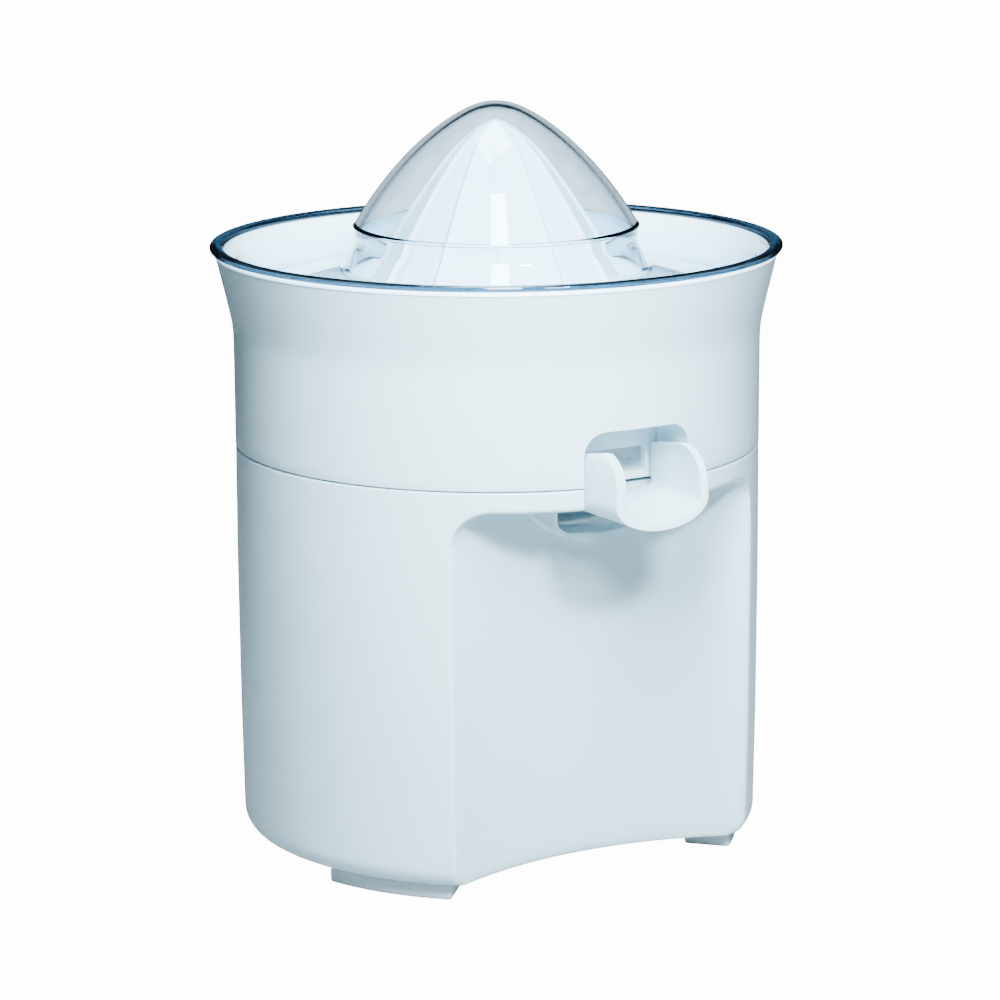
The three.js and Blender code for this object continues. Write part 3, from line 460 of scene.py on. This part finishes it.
WHITE = moulded("white_plastic", (0.67, 0.80, 0.85), (0.645, 0.78, 0.835), 0.28, haze=0.05,
                bump=0.03, rub=0.1, settle=0.02, specular=0.42)
CONE_WHITE = moulded("cone_plastic", (0.78, 0.86, 0.90), (0.75, 0.84, 0.885), 0.3, haze=0.08,
                     bump=0.05, rub=0.1, specular=0.4)
INNER_WHITE = moulded("strainer_plastic", (0.76, 0.85, 0.89), (0.73, 0.83, 0.875), 0.34,
                      haze=0.1, bump=0.06, rub=0.1, settle=0.03)
FOOT = moulded("foot_plastic", (0.62, 0.69, 0.72), (0.56, 0.63, 0.66), 0.5, haze=0.15,
               grain=2600.0, bump=0.25, rub=0.4, settle=0.05, rubbed=(0.7, 0.76, 0.78))
GREY = moulded("grey_plastic", (0.30, 0.32, 0.33), (0.25, 0.27, 0.28), 0.42, haze=0.15,
               grain=1800.0, bump=0.2, rub=0.5, settle=0.1, rubbed=(0.42, 0.44, 0.45))
DARK = moulded("dark_plastic", (0.03, 0.033, 0.036), (0.02, 0.022, 0.024), 0.38, haze=0.15,
               grain=1800.0, bump=0.2, rub=0.5, settle=0.1, rubbed=(0.09, 0.095, 0.1))
ACETAL = moulded("acetal", (0.80, 0.75, 0.62), (0.74, 0.69, 0.55), 0.4, haze=0.12, bump=0.1,
                 rub=0.4, settle=0.02, rubbed=(0.88, 0.84, 0.74), through=0.1)
RUBBER = moulded("black_rubber", (0.022, 0.022, 0.024), (0.03, 0.03, 0.031), 0.72, haze=0.12,
                 grain=3200.0, bump=0.35, rub=0.5, settle=0.12, rubbed=(0.08, 0.08, 0.085))
STEEL = metal("ground_steel", (0.62, 0.63, 0.65), (0.45, 0.46, 0.48), 0.2)
ZINC = metal("zinc_screw", (0.60, 0.61, 0.60), (0.48, 0.48, 0.44), 0.32, lines=1200.0)
BRONZE = metal("sintered_bronze", (0.55, 0.36, 0.17), (0.35, 0.23, 0.12), 0.42, lines=900.0,
               bump=0.3)
CLEAR = clear_plastic("clear_cover")
LAMINATED = laminated("motor_sheets")
WINDING = winding("copper_winding")


def dress(obj, material):
    obj.data.materials.clear()
    obj.data.materials.append(material)


def fit(piece, body, material, slot, *nodes):
    """Gives a piece its finish and body, and says which frame nodes it stands for."""
    dress(piece, material)
    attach(piece, body)
    if nodes:
        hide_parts(*nodes)
    return piece


# ---------------------------------------------------------------- base housing
def body_radius(z):
    """Outside of the base: slightly barrelled, drawn in at its foot."""
    return np.interp(z, [10.4, 40.0, 85.0, 117.8], [74.8, 75.3, BODY_R, BODY_R - 0.1])


def bay_distance(phi):
    """How far the glass bay's wall is from the centre line, looking phi away from the front."""
    c = math.cos(phi)
    under = BAY_R ** 2 - (BAY_AXIS_Y * math.sin(phi)) ** 2
    if c <= 0 or under <= 0:
        return 1e3
    return -BAY_AXIS_Y * c - math.sqrt(under)


def soft_min(a, b, k):
    h = max(k - abs(a - b), 0) / k
    return min(a, b) - h * h * k / 4


def bay_ceiling(phi):
    """Height of the bay's ceiling; its upper corners are round."""
    edge_x = BODY_R * math.sin(BAY_SIDE)
    inward = min(BAY_CORNER, max(0.0, edge_x - abs(BODY_R * math.sin(phi))))
    drop = BAY_CORNER - math.sqrt(BAY_CORNER ** 2 - (BAY_CORNER - inward) ** 2)
    return DECK_LOW - drop


def find_bay_side():
    low, high = 0.0, math.pi / 2
    for _ in range(40):
        middle = (low + high) / 2
        if bay_distance(middle) < BODY_R:
            low = middle
        else:
            high = middle
    return low


BAY_SIDE = find_bay_side()


def base_section(phi):
    """Closed wall section of the base at an angle phi from the front: outside up, inside down."""
    near = bay_distance(phi)
    ceiling = bay_ceiling(phi)

    def outside(z):
        return soft_min(body_radius(z), near, BAY_EDGE)

    foot_z = BASE_LOW[2]
    points = []
    toe = min(UNDERSIDE_R, outside(10.4) - 1.2)
    points.append((toe - 2.4, foot_z + 0.3))
    points.append((toe - 2.0, foot_z))
    points.append((toe - 0.6, foot_z))
    for k in range(9):
        t = k / 8 * math.pi / 2
        points.append((toe + (outside(10.4) - toe) * math.sin(t), 10.4 - 5.6 * math.cos(t)))
    hollow, brow = 4.0, 1.3
    for z in np.linspace(14, ceiling - hollow, 16):
        points.append((outside(z), z))
    deep = outside(ceiling)
    top = body_radius(ceiling)
    room = max(0.0, top - deep)
    share = min(1.0, room / (hollow + brow))
    for k in range(1, 7):
        t = k / 6 * math.pi / 2
        points.append((deep + hollow * share * (1 - math.cos(t)),
                       ceiling - hollow + hollow * math.sin(t)))
    lip = top - brow * share
    if room > hollow + brow + 0.2:
        points.append(((deep + hollow + lip) / 2, ceiling))
    else:
        points.append((deep + hollow * share + 0.5 * (lip - deep - hollow * share), ceiling))
    for k in range(0, 6):
        t = k / 5 * math.pi / 2
        points.append((lip + brow * share * math.sin(t), ceiling + 0.02 + brow * (1 - math.cos(t))))
    for z in np.linspace(ceiling + brow + 0.6, JOINT_Z - 0.7, 4):
        points.append((body_radius(z), z))
    rim = rounded([(BODY_R - 0.1, JOINT_Z - 2, 0), (BODY_R - 0.1, JOINT_Z, 0.45),
                   (BODY_R - WALL, JOINT_Z, 0.35), (BODY_R - WALL, DECK_TOP, 0.8),
                   (12.0, DECK_TOP, 2.5), (11.0, TOWER_TOP, 0.8), (7.0, TOWER_TOP, 0.4),
                   (7.0, DECK_LOW, 0.2), (min(deep, top) - WALL - 0.1, DECK_LOW, 0.5),
                   (toe - 2.4, 8.0, 0)], steps=4, closed=False)[1:]
    points += [tuple(p) for p in rim]
    c, s = math.cos(phi - math.pi / 2), math.sin(phi - math.pi / 2)
    return [(r * c, r * s, z) for r, z in points]


def angles_round():
    """Even steps round the body, closer where the bay's edges turn."""
    coarse = np.arange(0, 360, 2.0)
    side = math.degrees(BAY_SIDE)
    fine = np.arange(side - 8, side + 3, 0.35)
    every = np.unique(np.round(np.concatenate([coarse, fine, 360 - fine]), 4))
    kept = [every[0]]
    for a in every[1:]:
        if a - kept[-1] > 0.3:
            kept.append(a)
    return np.radians(kept)


def arch(half, low, high, corner, steps=8):
    """A doorway outline: square foot, rounded upper corners."""
    return rounded([(-half, low, 0), (half, low, 0), (half, high, corner), (-half, high, corner)],
                   steps=steps)


def apron_outline(half, low, high):
    """The collar hangs lowest at its middle."""
    points = [(half, high)]
    for k in range(33):
        s = 1 - k / 16
        points.append((half * s, low + (DECK_LOW - low) * abs(s) ** 2.2))
    points.append((-half, high))
    return points


def port_outline(half, low):
    """Mouth under the spout: its floor sags like the collar and turns up at both ends."""
    right = [(0.0, low, 30), (half - 3, low + 1.3, 6), (half, low + 3.4, 2.2), (half, DECK_LOW, 0)]
    left = [(-x, z, r) for x, z, r in reversed(right[1:])]
    return rounded(left + right, steps=8)


def base_shell():
    shell = loft("base_shell", [base_section(a) for a in angles_round()])
    outline = apron_outline(APRON_HALF, APRON_LOW, DECK_TOP - 1)
    apron = prism("apron", outline, "Y", APRON_Y, 1 - BAY_DEEP)
    combine(shell, apron, "UNION")
    housing = arch(PORT_HALF + WALL, PORT_FLOOR - WALL, DECK_TOP - 1, 0)
    combine(shell, prism("port_housing", housing, "Y", -BAY_DEEP, PORT_BACK + WALL), "UNION")
    port = port_outline(PORT_HALF, PORT_FLOOR)
    combine(shell, prism("port", port, "Y", APRON_Y - 20, PORT_BACK))
    gate = [(-NOTCH_HALF, 110.8), (NOTCH_HALF, 110.8), (NOTCH_HALF, 125), (-NOTCH_HALF, 125)]
    combine(shell, prism("gate", gate, "Y", -90.0, -56.0))
    tidy(shell, 30)
    return fit(shell, "motor_base", WHITE, "white_housing", "base_housing")


NOTCH_HALF = SPOUT_HIGH[0] + 0.6


def bottom_plate():
    """Underside cover, following the bay, with cooling slots."""
    outline = []
    for a in np.radians(np.arange(0, 360, 2.0)):
        r = soft_min(SHEET_HIGH[0], bay_distance(a) - WALL - 0.3, 3.0)
        outline.append((r * math.sin(a), -r * math.cos(a)))
    plate = prism("bottom_plate", outline, "Z", SHEET_LOW[2], SHEET_LOW[2] + 2.2)
    for k in range(7):
        x = -24 + 8 * k
        slot = rounded([(x - 1.5, -10, 1.4), (x + 1.5, -10, 1.4), (x + 1.5, 18, 1.4),
                        (x - 1.5, 18, 1.4)], steps=4)
        combine(plate, prism("slot", slot, "Z", SHEET_LOW[2] - 2, SHEET_LOW[2] + 5))
    tidy(plate, 30)
    return fit(plate, "motor_base", WHITE, "white_housing", "bottom_cover")


def foot(name, middle):
    """A foot pad: a curved block with softly rounded sole edges."""
    half = 16.4
    inner, outer = 56.1, UNDERSIDE_R - 0.2
    outline = ring_arc(outer, middle - half, middle + half, 20)
    outline += ring_arc(inner, middle + half, middle - half, 20)
    pad = prism("pad_" + name, outline, "Z", 0.0, FOOT_HIGH[2] - 0.02)
    bevelled(pad, 1.0, 3, 50)
    return fit(pad, "motor_base", FOOT, "foot_plastic", name)


# ---------------------------------------------------------------- bowl
def bowl_radius(z):
    """Outside of the bowl: straight wall that flares towards the rim."""
    start = 152.5
    slope = (BOWL_HIGH[0] - BODY_R) / (RIM_Z - start)
    return BODY_R - 0.05 + slope * (math.sqrt((z - start) ** 2 + 9.0) + (z - start)) / 2


def bowl_shell():
    heights = np.concatenate([np.linspace(BOWL_FOOT + 0.5, 146, 12), np.linspace(147, RIM_Z - 0.9, 22)])
    ledge = STRAINER_LOW[2] + 10.4
    outline = [(BODY_R - 0.5, BOWL_FOOT), (BODY_R - 0.12, BOWL_FOOT + 0.2)]
    outline += [(min(bowl_radius(z), BOWL_HIGH[0]), z) for z in heights]
    rim_r = min(bowl_radius(RIM_Z), BOWL_HIGH[0]) - 1.0
    for k in range(9):
        t = math.pi * k / 8
        outline.append((rim_r + math.cos(t), RIM_Z - 1.0 + math.sin(t)))
    inside = [(bowl_radius(z) - 2.0, z) for z in np.linspace(RIM_Z - 2.5, ledge + 1.5, 12)]
    outline += inside
    inner = BODY_R - 2.0
    outline += [tuple(p) for p in rounded(
        [(inner + 0.4, ledge + 0.8, 0), (inner, ledge, 0.3), (inner - 3.2, ledge, 0.4),
         (inner - 3.2, ledge - 1.5, 0.4), (inner, ledge - 5, 1.5), (inner, FLOOR_Z, 3),
         (18.5, FLOOR_Z + 4, 3), (14.5, FLOOR_Z + 8, 2), (14.5, 146.0, 0.9), (12.5, 146.0, 0.9),
         (12.5, FLOOR_Z + 1.5, 1), (71.0, FLOOR_Z - 2, 1), (71.0, 114.6, 0.5),
         (73.1, 114.6, 0.5), (73.1, BOWL_FOOT, 0.3)], steps=4, closed=False)]
    shell = turned("bowl_shell", outline, 240)
    half = NOTCH_HALF
    block = prism("block", arch(half + 2, BOWL_FOOT + 0.02, 135.5, 7.5), "Y", -72.6, -56.0)
    foot_block = prism("foot_block", arch(half + 2, FLOOR_Z - 2.3, FLOOR_Z + 2, 0), "Y", -69.5, -56.1)
    combine(shell, block, "UNION")
    combine(shell, foot_block, "UNION")
    combine(shell, prism("room", arch(half, 108, 133.5, 6.5), "Y", -95, -58.0))
    combine(shell, prism("outlet", arch(13, FLOOR_Z, FLOOR_Z + 6.8, 1.5), "Y", -62, -50))
    tidy(shell, 30)
    return fit(shell, "juice_bowl", WHITE, "white_housing", "juice_bowl")


# ---------------------------------------------------------------- spout
SPOUT_REAR_Y = SPOUT_HIGH[1] - 1.2   # room to tilt
LIP_Y = SPOUT_LOW[1] + 0.1
SHOULDER_Z = 115.0
CHEEK_CORNER = 9.5
SPOUT_WALL = 2.6


def spout_point(share, side, inset):
    """A point of the spout's skin: share 0 at the rear, 1 at the lip; side -1 to 1 across."""
    def between(rear, lip):
        return rear + (lip - rear) * share
    half = between(SPOUT_HIGH[0], SPOUT_HIGH[0] - 1.4) - inset
    bottom = between(SPOUT_LOW[2] + 3.6, SPOUT_LOW[2]) + inset
    far, sign = abs(side), math.copysign(1, side)
    if far <= 0.6:
        a = far / 0.6 * math.pi / 2
        roundness = between(0.4, 1)
        rise = (SHOULDER_Z - bottom) * max(0, math.cos(a)) ** roundness
        return (sign * half * math.sin(a) ** roundness, between(SPOUT_REAR_Y, LIP_Y),
                SHOULDER_Z - rise)
    up = (far - 0.6) / 0.4
    turn = max(0, 2 * up - 1) * math.pi / 2
    straight = min(1, 2 * up) * (SPOUT_HIGH[2] - CHEEK_CORNER - SHOULDER_Z)
    lip_z = SHOULDER_Z + straight + CHEEK_CORNER * math.sin(turn)
    lip_y = LIP_Y + CHEEK_CORNER * (1 - math.cos(turn))
    rear_z = SHOULDER_Z + up * (SPOUT_HIGH[2] - 2.8 - SHOULDER_Z)
    return (sign * (half - share * up * up), between(SPOUT_REAR_Y, lip_y), between(rear_z, lip_z))


def spout_shell():
    sections = []
    for share in np.linspace(0, 1, 25):
        sides = np.linspace(-1, 1, 81)
        outer = [spout_point(share, side, 0) for side in sides]
        inner = [spout_point(share, side, SPOUT_WALL) for side in reversed(sides)]
        sections.append(outer + inner)
    shell = loft("spout_shell", sections, wrap=False, crease=45)
    bevelled(shell, 0.8, 3, 50)
    return fit(shell, "spout", WHITE, "white_housing", "spout")


# ---------------------------------------------------------------- strainer, cone, cover
def strainer_disc():
    low = STRAINER_LOW[2]
    floor = low + 10.6
    rim_r = STRAINER_HIGH[0]
    top = STRAINER_HIGH[2]
    outline = [tuple(p) for p in rounded(
        [(15.1, low, 0.4), (17.1, low, 0.4), (17.1, floor, 1), (rim_r, floor, 0.6), (rim_r, top, 0.7),
         (rim_r - 1.6, top, 0.7), (rim_r - 1.6, floor + 2, 0.6), (17.6, floor + 2, 1),
         (17.1, top, 0.4), (15.1, top, 0.4)], steps=3)]
    disc = turned("strainer_disc", outline, 200)
    slots = None
    for k in range(40):
        a = 2 * math.pi * (k + 0.5) / 40
        bar = rounded([(36, -0.8, 0.75), (64, -0.8, 0.75), (64, 0.8, 0.75), (36, 0.8, 0.75)], steps=3)
        turned_bar = [(x * math.cos(a) - y * math.sin(a), x * math.sin(a) + y * math.cos(a))
                      for x, y in bar]
        piece = prism("slot", turned_bar, "Z", floor - 2, floor + 5)
        if slots is None:
            slots = piece
        else:
            combine_plain(slots, piece)
    combine(disc, slots)
    tidy(disc, 30)
    return fit(disc, "juice_bowl", INNER_WHITE, "white_housing", "strainer")


def combine_plain(target, other):
    """Adds another closed mesh that doesn't touch the first."""
    bm = bmesh.new()
    bm.from_mesh(target.data)
    bm.from_mesh(other.data)
    bm.to_mesh(target.data)
    bm.free()
    bpy.data.objects.remove(other)


RIBS = 12
CONE_TOP = CONE_HIGH[2]
CONE_FOOT = CONE_LOW[2]
CONE_SHOULDER = CONE_FOOT + 4.0
CONE_R = CONE_HIGH[0] - 1.5


def cone_radius(share):
    return CONE_R * (1 - share) ** 0.62 * (1 - 0.1 * share)


def cone_surface(share, phi):
    """Reamer radius: smooth flutes between thin upright ribs."""
    r = cone_radius(share)
    wave = phi * RIBS / (2 * math.pi)
    off = abs(wave - round(wave)) * 2 * math.pi / RIBS * max(r, 1.0)
    rib = math.exp(-(off / 0.75) ** 2)
    flute = math.cos(math.pi * (abs(wave - round(wave)) * 2)) * 0.5 - 0.5
    fade = min(1.0, (1 - share) * 6)
    return max(0.05, r + fade * (1.3 * rib * (1 - 0.4 * share) + 0.8 * flute * (1 - share)))


def cone_shell():
    around, up = 360, 70
    verts, faces = [], []
    for i in range(up + 1):
        t = i / up
        share = 1 - (1 - t) ** 1.6
        z = CONE_SHOULDER + (CONE_TOP - CONE_SHOULDER) * share
        for k in range(around):
            phi = 2 * math.pi * k / around
            r = cone_surface(share, phi) if i < up else 0.0
            verts.append((r * math.cos(phi), r * math.sin(phi), z))
    rows = up + 1
    for i in range(up):
        for k in range(around):
            a, b = i * around + k, i * around + (k + 1) % around
            faces.append((a, b, b + around, a + around))
    flange = rounded([(CONE_R + 1.3, CONE_SHOULDER - 0.6, 0.5), (CONE_R + 1.3, CONE_FOOT, 0.6),
                      (CONE_R - 0.6, CONE_FOOT, 0.3)], steps=4, closed=False)
    under = [tuple(p) for p in flange] + [
        (cone_radius(s) - 1.8, CONE_SHOULDER - 1 + (CONE_TOP - CONE_SHOULDER) * s)
        for s in np.linspace(0.02, 0.72, 16)] + [(0.0, CONE_TOP - 6)]
    base = rows * around
    for r, z in under:
        for k in range(around):
            phi = 2 * math.pi * k / around
            verts.append((r * math.cos(phi), r * math.sin(phi), z))
    for k in range(around):
        a, b = k, (k + 1) % around
        faces.append((b, a, base + a, base + b))
    for i in range(len(under) - 1):
        for k in range(around):
            a, b = base + i * around + k, base + i * around + (k + 1) % around
            faces.append((b, a, a + around, b + around))
    shell = finish_mesh("cone_shell", verts, faces, 60)
    boss = turned("boss", [(6.9, CONE_FOOT + 2), (8.4, CONE_FOOT + 2), (8.4, CONE_TOP - 5.5),
                           (0.0, CONE_TOP - 5.5)][:3] + [(6.9, CONE_TOP - 5.5)], 48)
    combine(shell, boss, "UNION")
    tidy(shell, 45)
    return fit(shell, "cone", CONE_WHITE, "white_housing", "cone")


DOME_R = 41.0
STEP_Z = 180.4


NOSE_R = 7                   # inside this radius the dome is rounded to a parabola


def dome_curve(count):
    """Outer dome line from its foot to its nose."""
    top = COVER_HIGH[2]
    foot, a, b, nose = ((DOME_R - 0.3, STEP_Z), (34.8, STEP_Z + 10.8), (18.7, top - 3.6), (0.0, top + 0.6))
    line = []
    for k in range(count + 1):
        t = k / count
        w = ((1 - t) ** 3, 3 * (1 - t) ** 2 * t, 3 * (1 - t) * t * t, t ** 3)
        line.append(tuple(sum(q * p[i] for q, p in zip(w, (foot, a, b, nose))) for i in (0, 1)))
    edge = next(k for k, point in enumerate(line) if point[0] < NOSE_R)
    (r0, z0), (r1, z1) = line[edge - 1], line[edge]
    slope = (z1 - z0) / (r1 - r0)
    for k in range(edge, count + 1):
        r = line[k][0]
        line[k] = (r, min(top, z0 + slope * (r * r - r0 * r0) / (2 * r0)))
    return line


def offset_inward(line, depth):
    points = np.array(line, float)
    along = np.gradient(points, axis=0)
    along /= np.linalg.norm(along, axis=1)[:, None]
    normal = np.stack([along[:, 1], -along[:, 0]], axis=1)
    moved = points - normal * depth
    moved[-1] = (0.0, points[-1][1] - depth)
    return [tuple(p) for p in moved]


def cover_shell():
    ring_r, ring_low = COVER_HIGH[0], RIM_Z + 0.3
    ring_top = ring_low + 1.5
    dome = dome_curve(44)
    brim = COVER_LOW[2]
    outer = [tuple(p) for p in rounded(
        [(DOME_R - 0.3, STEP_Z + 0.1, 0), (DOME_R, STEP_Z, 0.15), (DOME_R, STEP_Z - 0.5, 0.15),
         (40.6, STEP_Z - 0.8, 0.2), (40.4, STEP_Z - 5.0, 5), (43.8, 168.2, 2.2), (71.8, brim + 1.9, 3.5),
         (77.4, ring_top - 3.0, 4), (78.6, ring_top, 0.6), (ring_r, ring_top, 0.7),
         (ring_r, ring_low, 0.6), (78.5, ring_low, 0.4), (76.0, ring_low - 4.5, 3),
         (72.8, brim, 2.6), (42.4, 166.2, 3), (38.5, STEP_Z - 5.0, 6), (38.4, STEP_Z - 0.5, 0)],
        steps=5, closed=False)]
    inner = offset_inward(dome, 1.9)
    outline = list(reversed(dome)) + outer[1:] + inner[1:]
    shell = turned("cover_shell", outline, 256, 60)
    shell.visible_shadow = False
    return fit(shell, "dust_cover", CLEAR, "clear_cover", "dust_cover")


# ---------------------------------------------------------------- spring and the working parts
def spring_wire():
    low, high = SPRING_LOW[2] + 0.05, SPRING_HIGH[2] - 0.05
    r = (SPRING_HIGH[0] - SPRING_LOW[0]) / 2 - 0.75
    wire, turns, sides = 0.68, 4.5, 12
    steps = int(turns * 40)
    sections = []
    for k in range(steps + 1):
        t = k / steps
        a = 2 * math.pi * turns * t
        closed_ends = 0.5 - 0.5 * math.cos(math.pi * t)
        z = low + wire + (high - low - 2 * wire) * (0.65 * t + 0.35 * closed_ends)
        centre = Vector((r * math.cos(a), r * math.sin(a), z))
        out = Vector((math.cos(a), math.sin(a), 0))
        up = Vector((0, 0, 1))
        sections.append([tuple(centre + wire * (math.cos(b) * out + math.sin(b) * up))
                         for b in (2 * math.pi * i / sides for i in range(sides))])
    spring = loft("shaft_spring", sections, wrap=False, crease=60)
    fit(spring, "output_gear", STEEL, "bright_steel", "return_spring")
    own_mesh(spring)
    return spring


NODE_FINISH = {
    "cord_gland": RUBBER, "shaft_seal": RUBBER,
    "terminal_block": DARK, "micro_switch": DARK,
    "motor_core": LAMINATED, "motor_coil": WINDING,
    "motor_rotor": STEEL, "motor_lower_bracket": STEEL, "motor_upper_bracket": STEEL,
    "motor_screw_right": ZINC, "motor_screw_left": ZINC,
    "gearbox_housing": GREY, "gearbox_cover": GREY, "cone_driver": GREY,
    "intermediate_axle": STEEL, "drive_shaft": STEEL, "switch_lever": STEEL,
    "spout_pin_left": STEEL, "spout_pin_right": STEEL,
    "intermediate_gear": ACETAL, "output_gear": ACETAL,
    "lower_bush": BRONZE, "upper_bush": BRONZE,
}


def dress_frame_nodes():
    """Working parts keep their frame shape and get a fine edge and their own finish."""
    for name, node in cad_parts.items():
        material = NODE_FINISH.get(name)
        if material is None and "screw" in name:
            material = ZINC
        if material is None:
            continue
        dress(node, material)
        for face in node.data.polygons:
            face.use_smooth = True
        edge = node.modifiers.new("fine edge", "BEVEL")
        edge.width = 0.00015
        edge.segments = 2
        edge.limit_method = "ANGLE"
        edge.angle_limit = math.radians(40)
        split = node.modifiers.new("crisp corners", "EDGE_SPLIT")
        split.split_angle = math.radians(40)


# ---------------------------------------------------------------- stage
TURN = math.radians(-31.2)
TILT = 0.2167


def camera():
    data = bpy.data.cameras.new("camera")
    data.sensor_width = 36.0
    data.lens = 147.14
    data.shift_x = 0.0025
    data.clip_start, data.clip_end = 0.1, 20.0
    cam = bpy.data.objects.new("camera", data)
    bpy.context.scene.collection.objects.link(cam)
    away, height, roll = 1.1588, 0.3546, -0.0052
    cam.location = (away * math.sin(TURN), -away * math.cos(TURN), height)
    look = Matrix.Rotation(TURN, 4, "Z") @ Matrix.Rotation(math.pi / 2 - TILT, 4, "X")
    cam.rotation_euler = (look @ Matrix.Rotation(roll, 4, "Z")).to_euler()
    bpy.context.scene.camera = cam
    return cam


def soft_light(name, place, size, power, target=(0, 0, 0.11), glare=0.1):
    data = bpy.data.lights.new(name, "AREA")
    data.shape = "RECTANGLE"
    data.size, data.size_y = size
    data.energy = power
    data.color = (0.72, 0.94, 1.06)
    data.specular_factor = glare
    lamp = bpy.data.objects.new(name, data)
    bpy.context.scene.collection.objects.link(lamp)
    lamp.location = place
    lamp.rotation_euler = (Vector(target) - Vector(place)).to_track_quat("-Z", "Y").to_euler()
    lamp.visible_camera = False
    lamp.visible_transmission = False
    return lamp


def seen_directly(graph):
    """1 where the camera looks straight at the backdrop; less through the clear cover, and
    nothing where the cover bends the view round to the dark sides of the room."""
    path = graph.add("ShaderNodeLightPath")
    towards = graph.add("ShaderNodeNewGeometry").outputs["Incoming"]
    ahead = (math.sin(TURN) * math.cos(TILT), -math.cos(TURN) * math.cos(TILT), math.sin(TILT))
    along = graph.add("ShaderNodeVectorMath", {0: towards, 1: ahead}, operation="DOT_PRODUCT")
    straight = graph.remap(along.outputs["Value"], 0.80, 0.97, 0.0, THROUGH_COVER)
    through = graph.math("MULTIPLY", path.outputs["Is Transmission Ray"], straight)
    return graph.math("MAXIMUM", path.outputs["Is Camera Ray"], through)


def stage():
    floor = finish_mesh("floor", [(-6000, -6000, 0), (6000, -6000, 0), (6000, 6000, 0),
                                  (-6000, 6000, 0)], [(0, 1, 2, 3)])
    material, g, shader = new_material("pale_floor")
    where = g.add("ShaderNodeTexCoord").outputs["Object"]
    tone = g.mix(g.noise(where, 3.0, 2.0), (0.26, 0.27, 0.28, 1), (0.28, 0.29, 0.30, 1))
    g.tree.links.new(tone, shader.inputs["Base Color"])
    shader.inputs["Roughness"].default_value = 0.9
    shader.inputs["Specular IOR Level"].default_value = 0.1
    shader.inputs["Emission Color"].default_value = (1, 1, 1, 1)
    glow = g.math("MULTIPLY", seen_directly(g), FLOOR_GLOW)
    g.tree.links.new(glow, shader.inputs["Emission Strength"])
    dress(floor, material)
    world = bpy.data.worlds.new("studio")
    bpy.context.scene.world = world
    world.use_nodes = True
    g = Graph(world.node_tree)
    back = next(n for n in world.node_tree.nodes if n.type == "BACKGROUND")
    back.inputs["Color"].default_value = (0.86, 0.95, 1.0, 1)
    back.inputs["Strength"].default_value = ROOM_GLOW
    seen = g.add("ShaderNodeBackground", {"Color": (1, 1, 1, 1), "Strength": FLOOR_GLOW})
    both = g.add("ShaderNodeMixShader", {0: seen_directly(g), 1: back.outputs[0],
                                         2: seen.outputs[0]})
    output = next(n for n in world.node_tree.nodes if n.type == "OUTPUT_WORLD")
    world.node_tree.links.new(both.outputs[0], output.inputs["Surface"])
    soft_light("key", (-0.125, -0.235, 0.42), (0.07, 0.34), 9.5, target=(0, 0, 0.24))
    soft_light("front", (-0.06, -0.45, 0.40), (0.08, 0.05), 5.0, target=(0, 0, 0.02))
    soft_light("low", (-0.16, -0.34, 0.035), (0.12, 0.05), 0.15, target=(0, 0, 0.02))
    soft_light("top", (0.0, 0.05, 0.85), (0.25, 0.25), 8)


FLOOR_GLOW = 14.0
THROUGH_COVER = 0.30
ROOM_GLOW = 0.02

camera()
stage()
base_shell()
bottom_plate()
for pad_name in ("foot_front_left", "foot_front_right", "foot_rear_left", "foot_rear_right"):
    low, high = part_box(pad_name)
    middle = math.degrees(math.atan2(low.y + high.y, low.x + high.x))
    foot(pad_name, middle)
bowl_shell()
spout_shell()
strainer_disc()
cone_shell()
cover_shell()
spring_wire()
dress_frame_nodes()
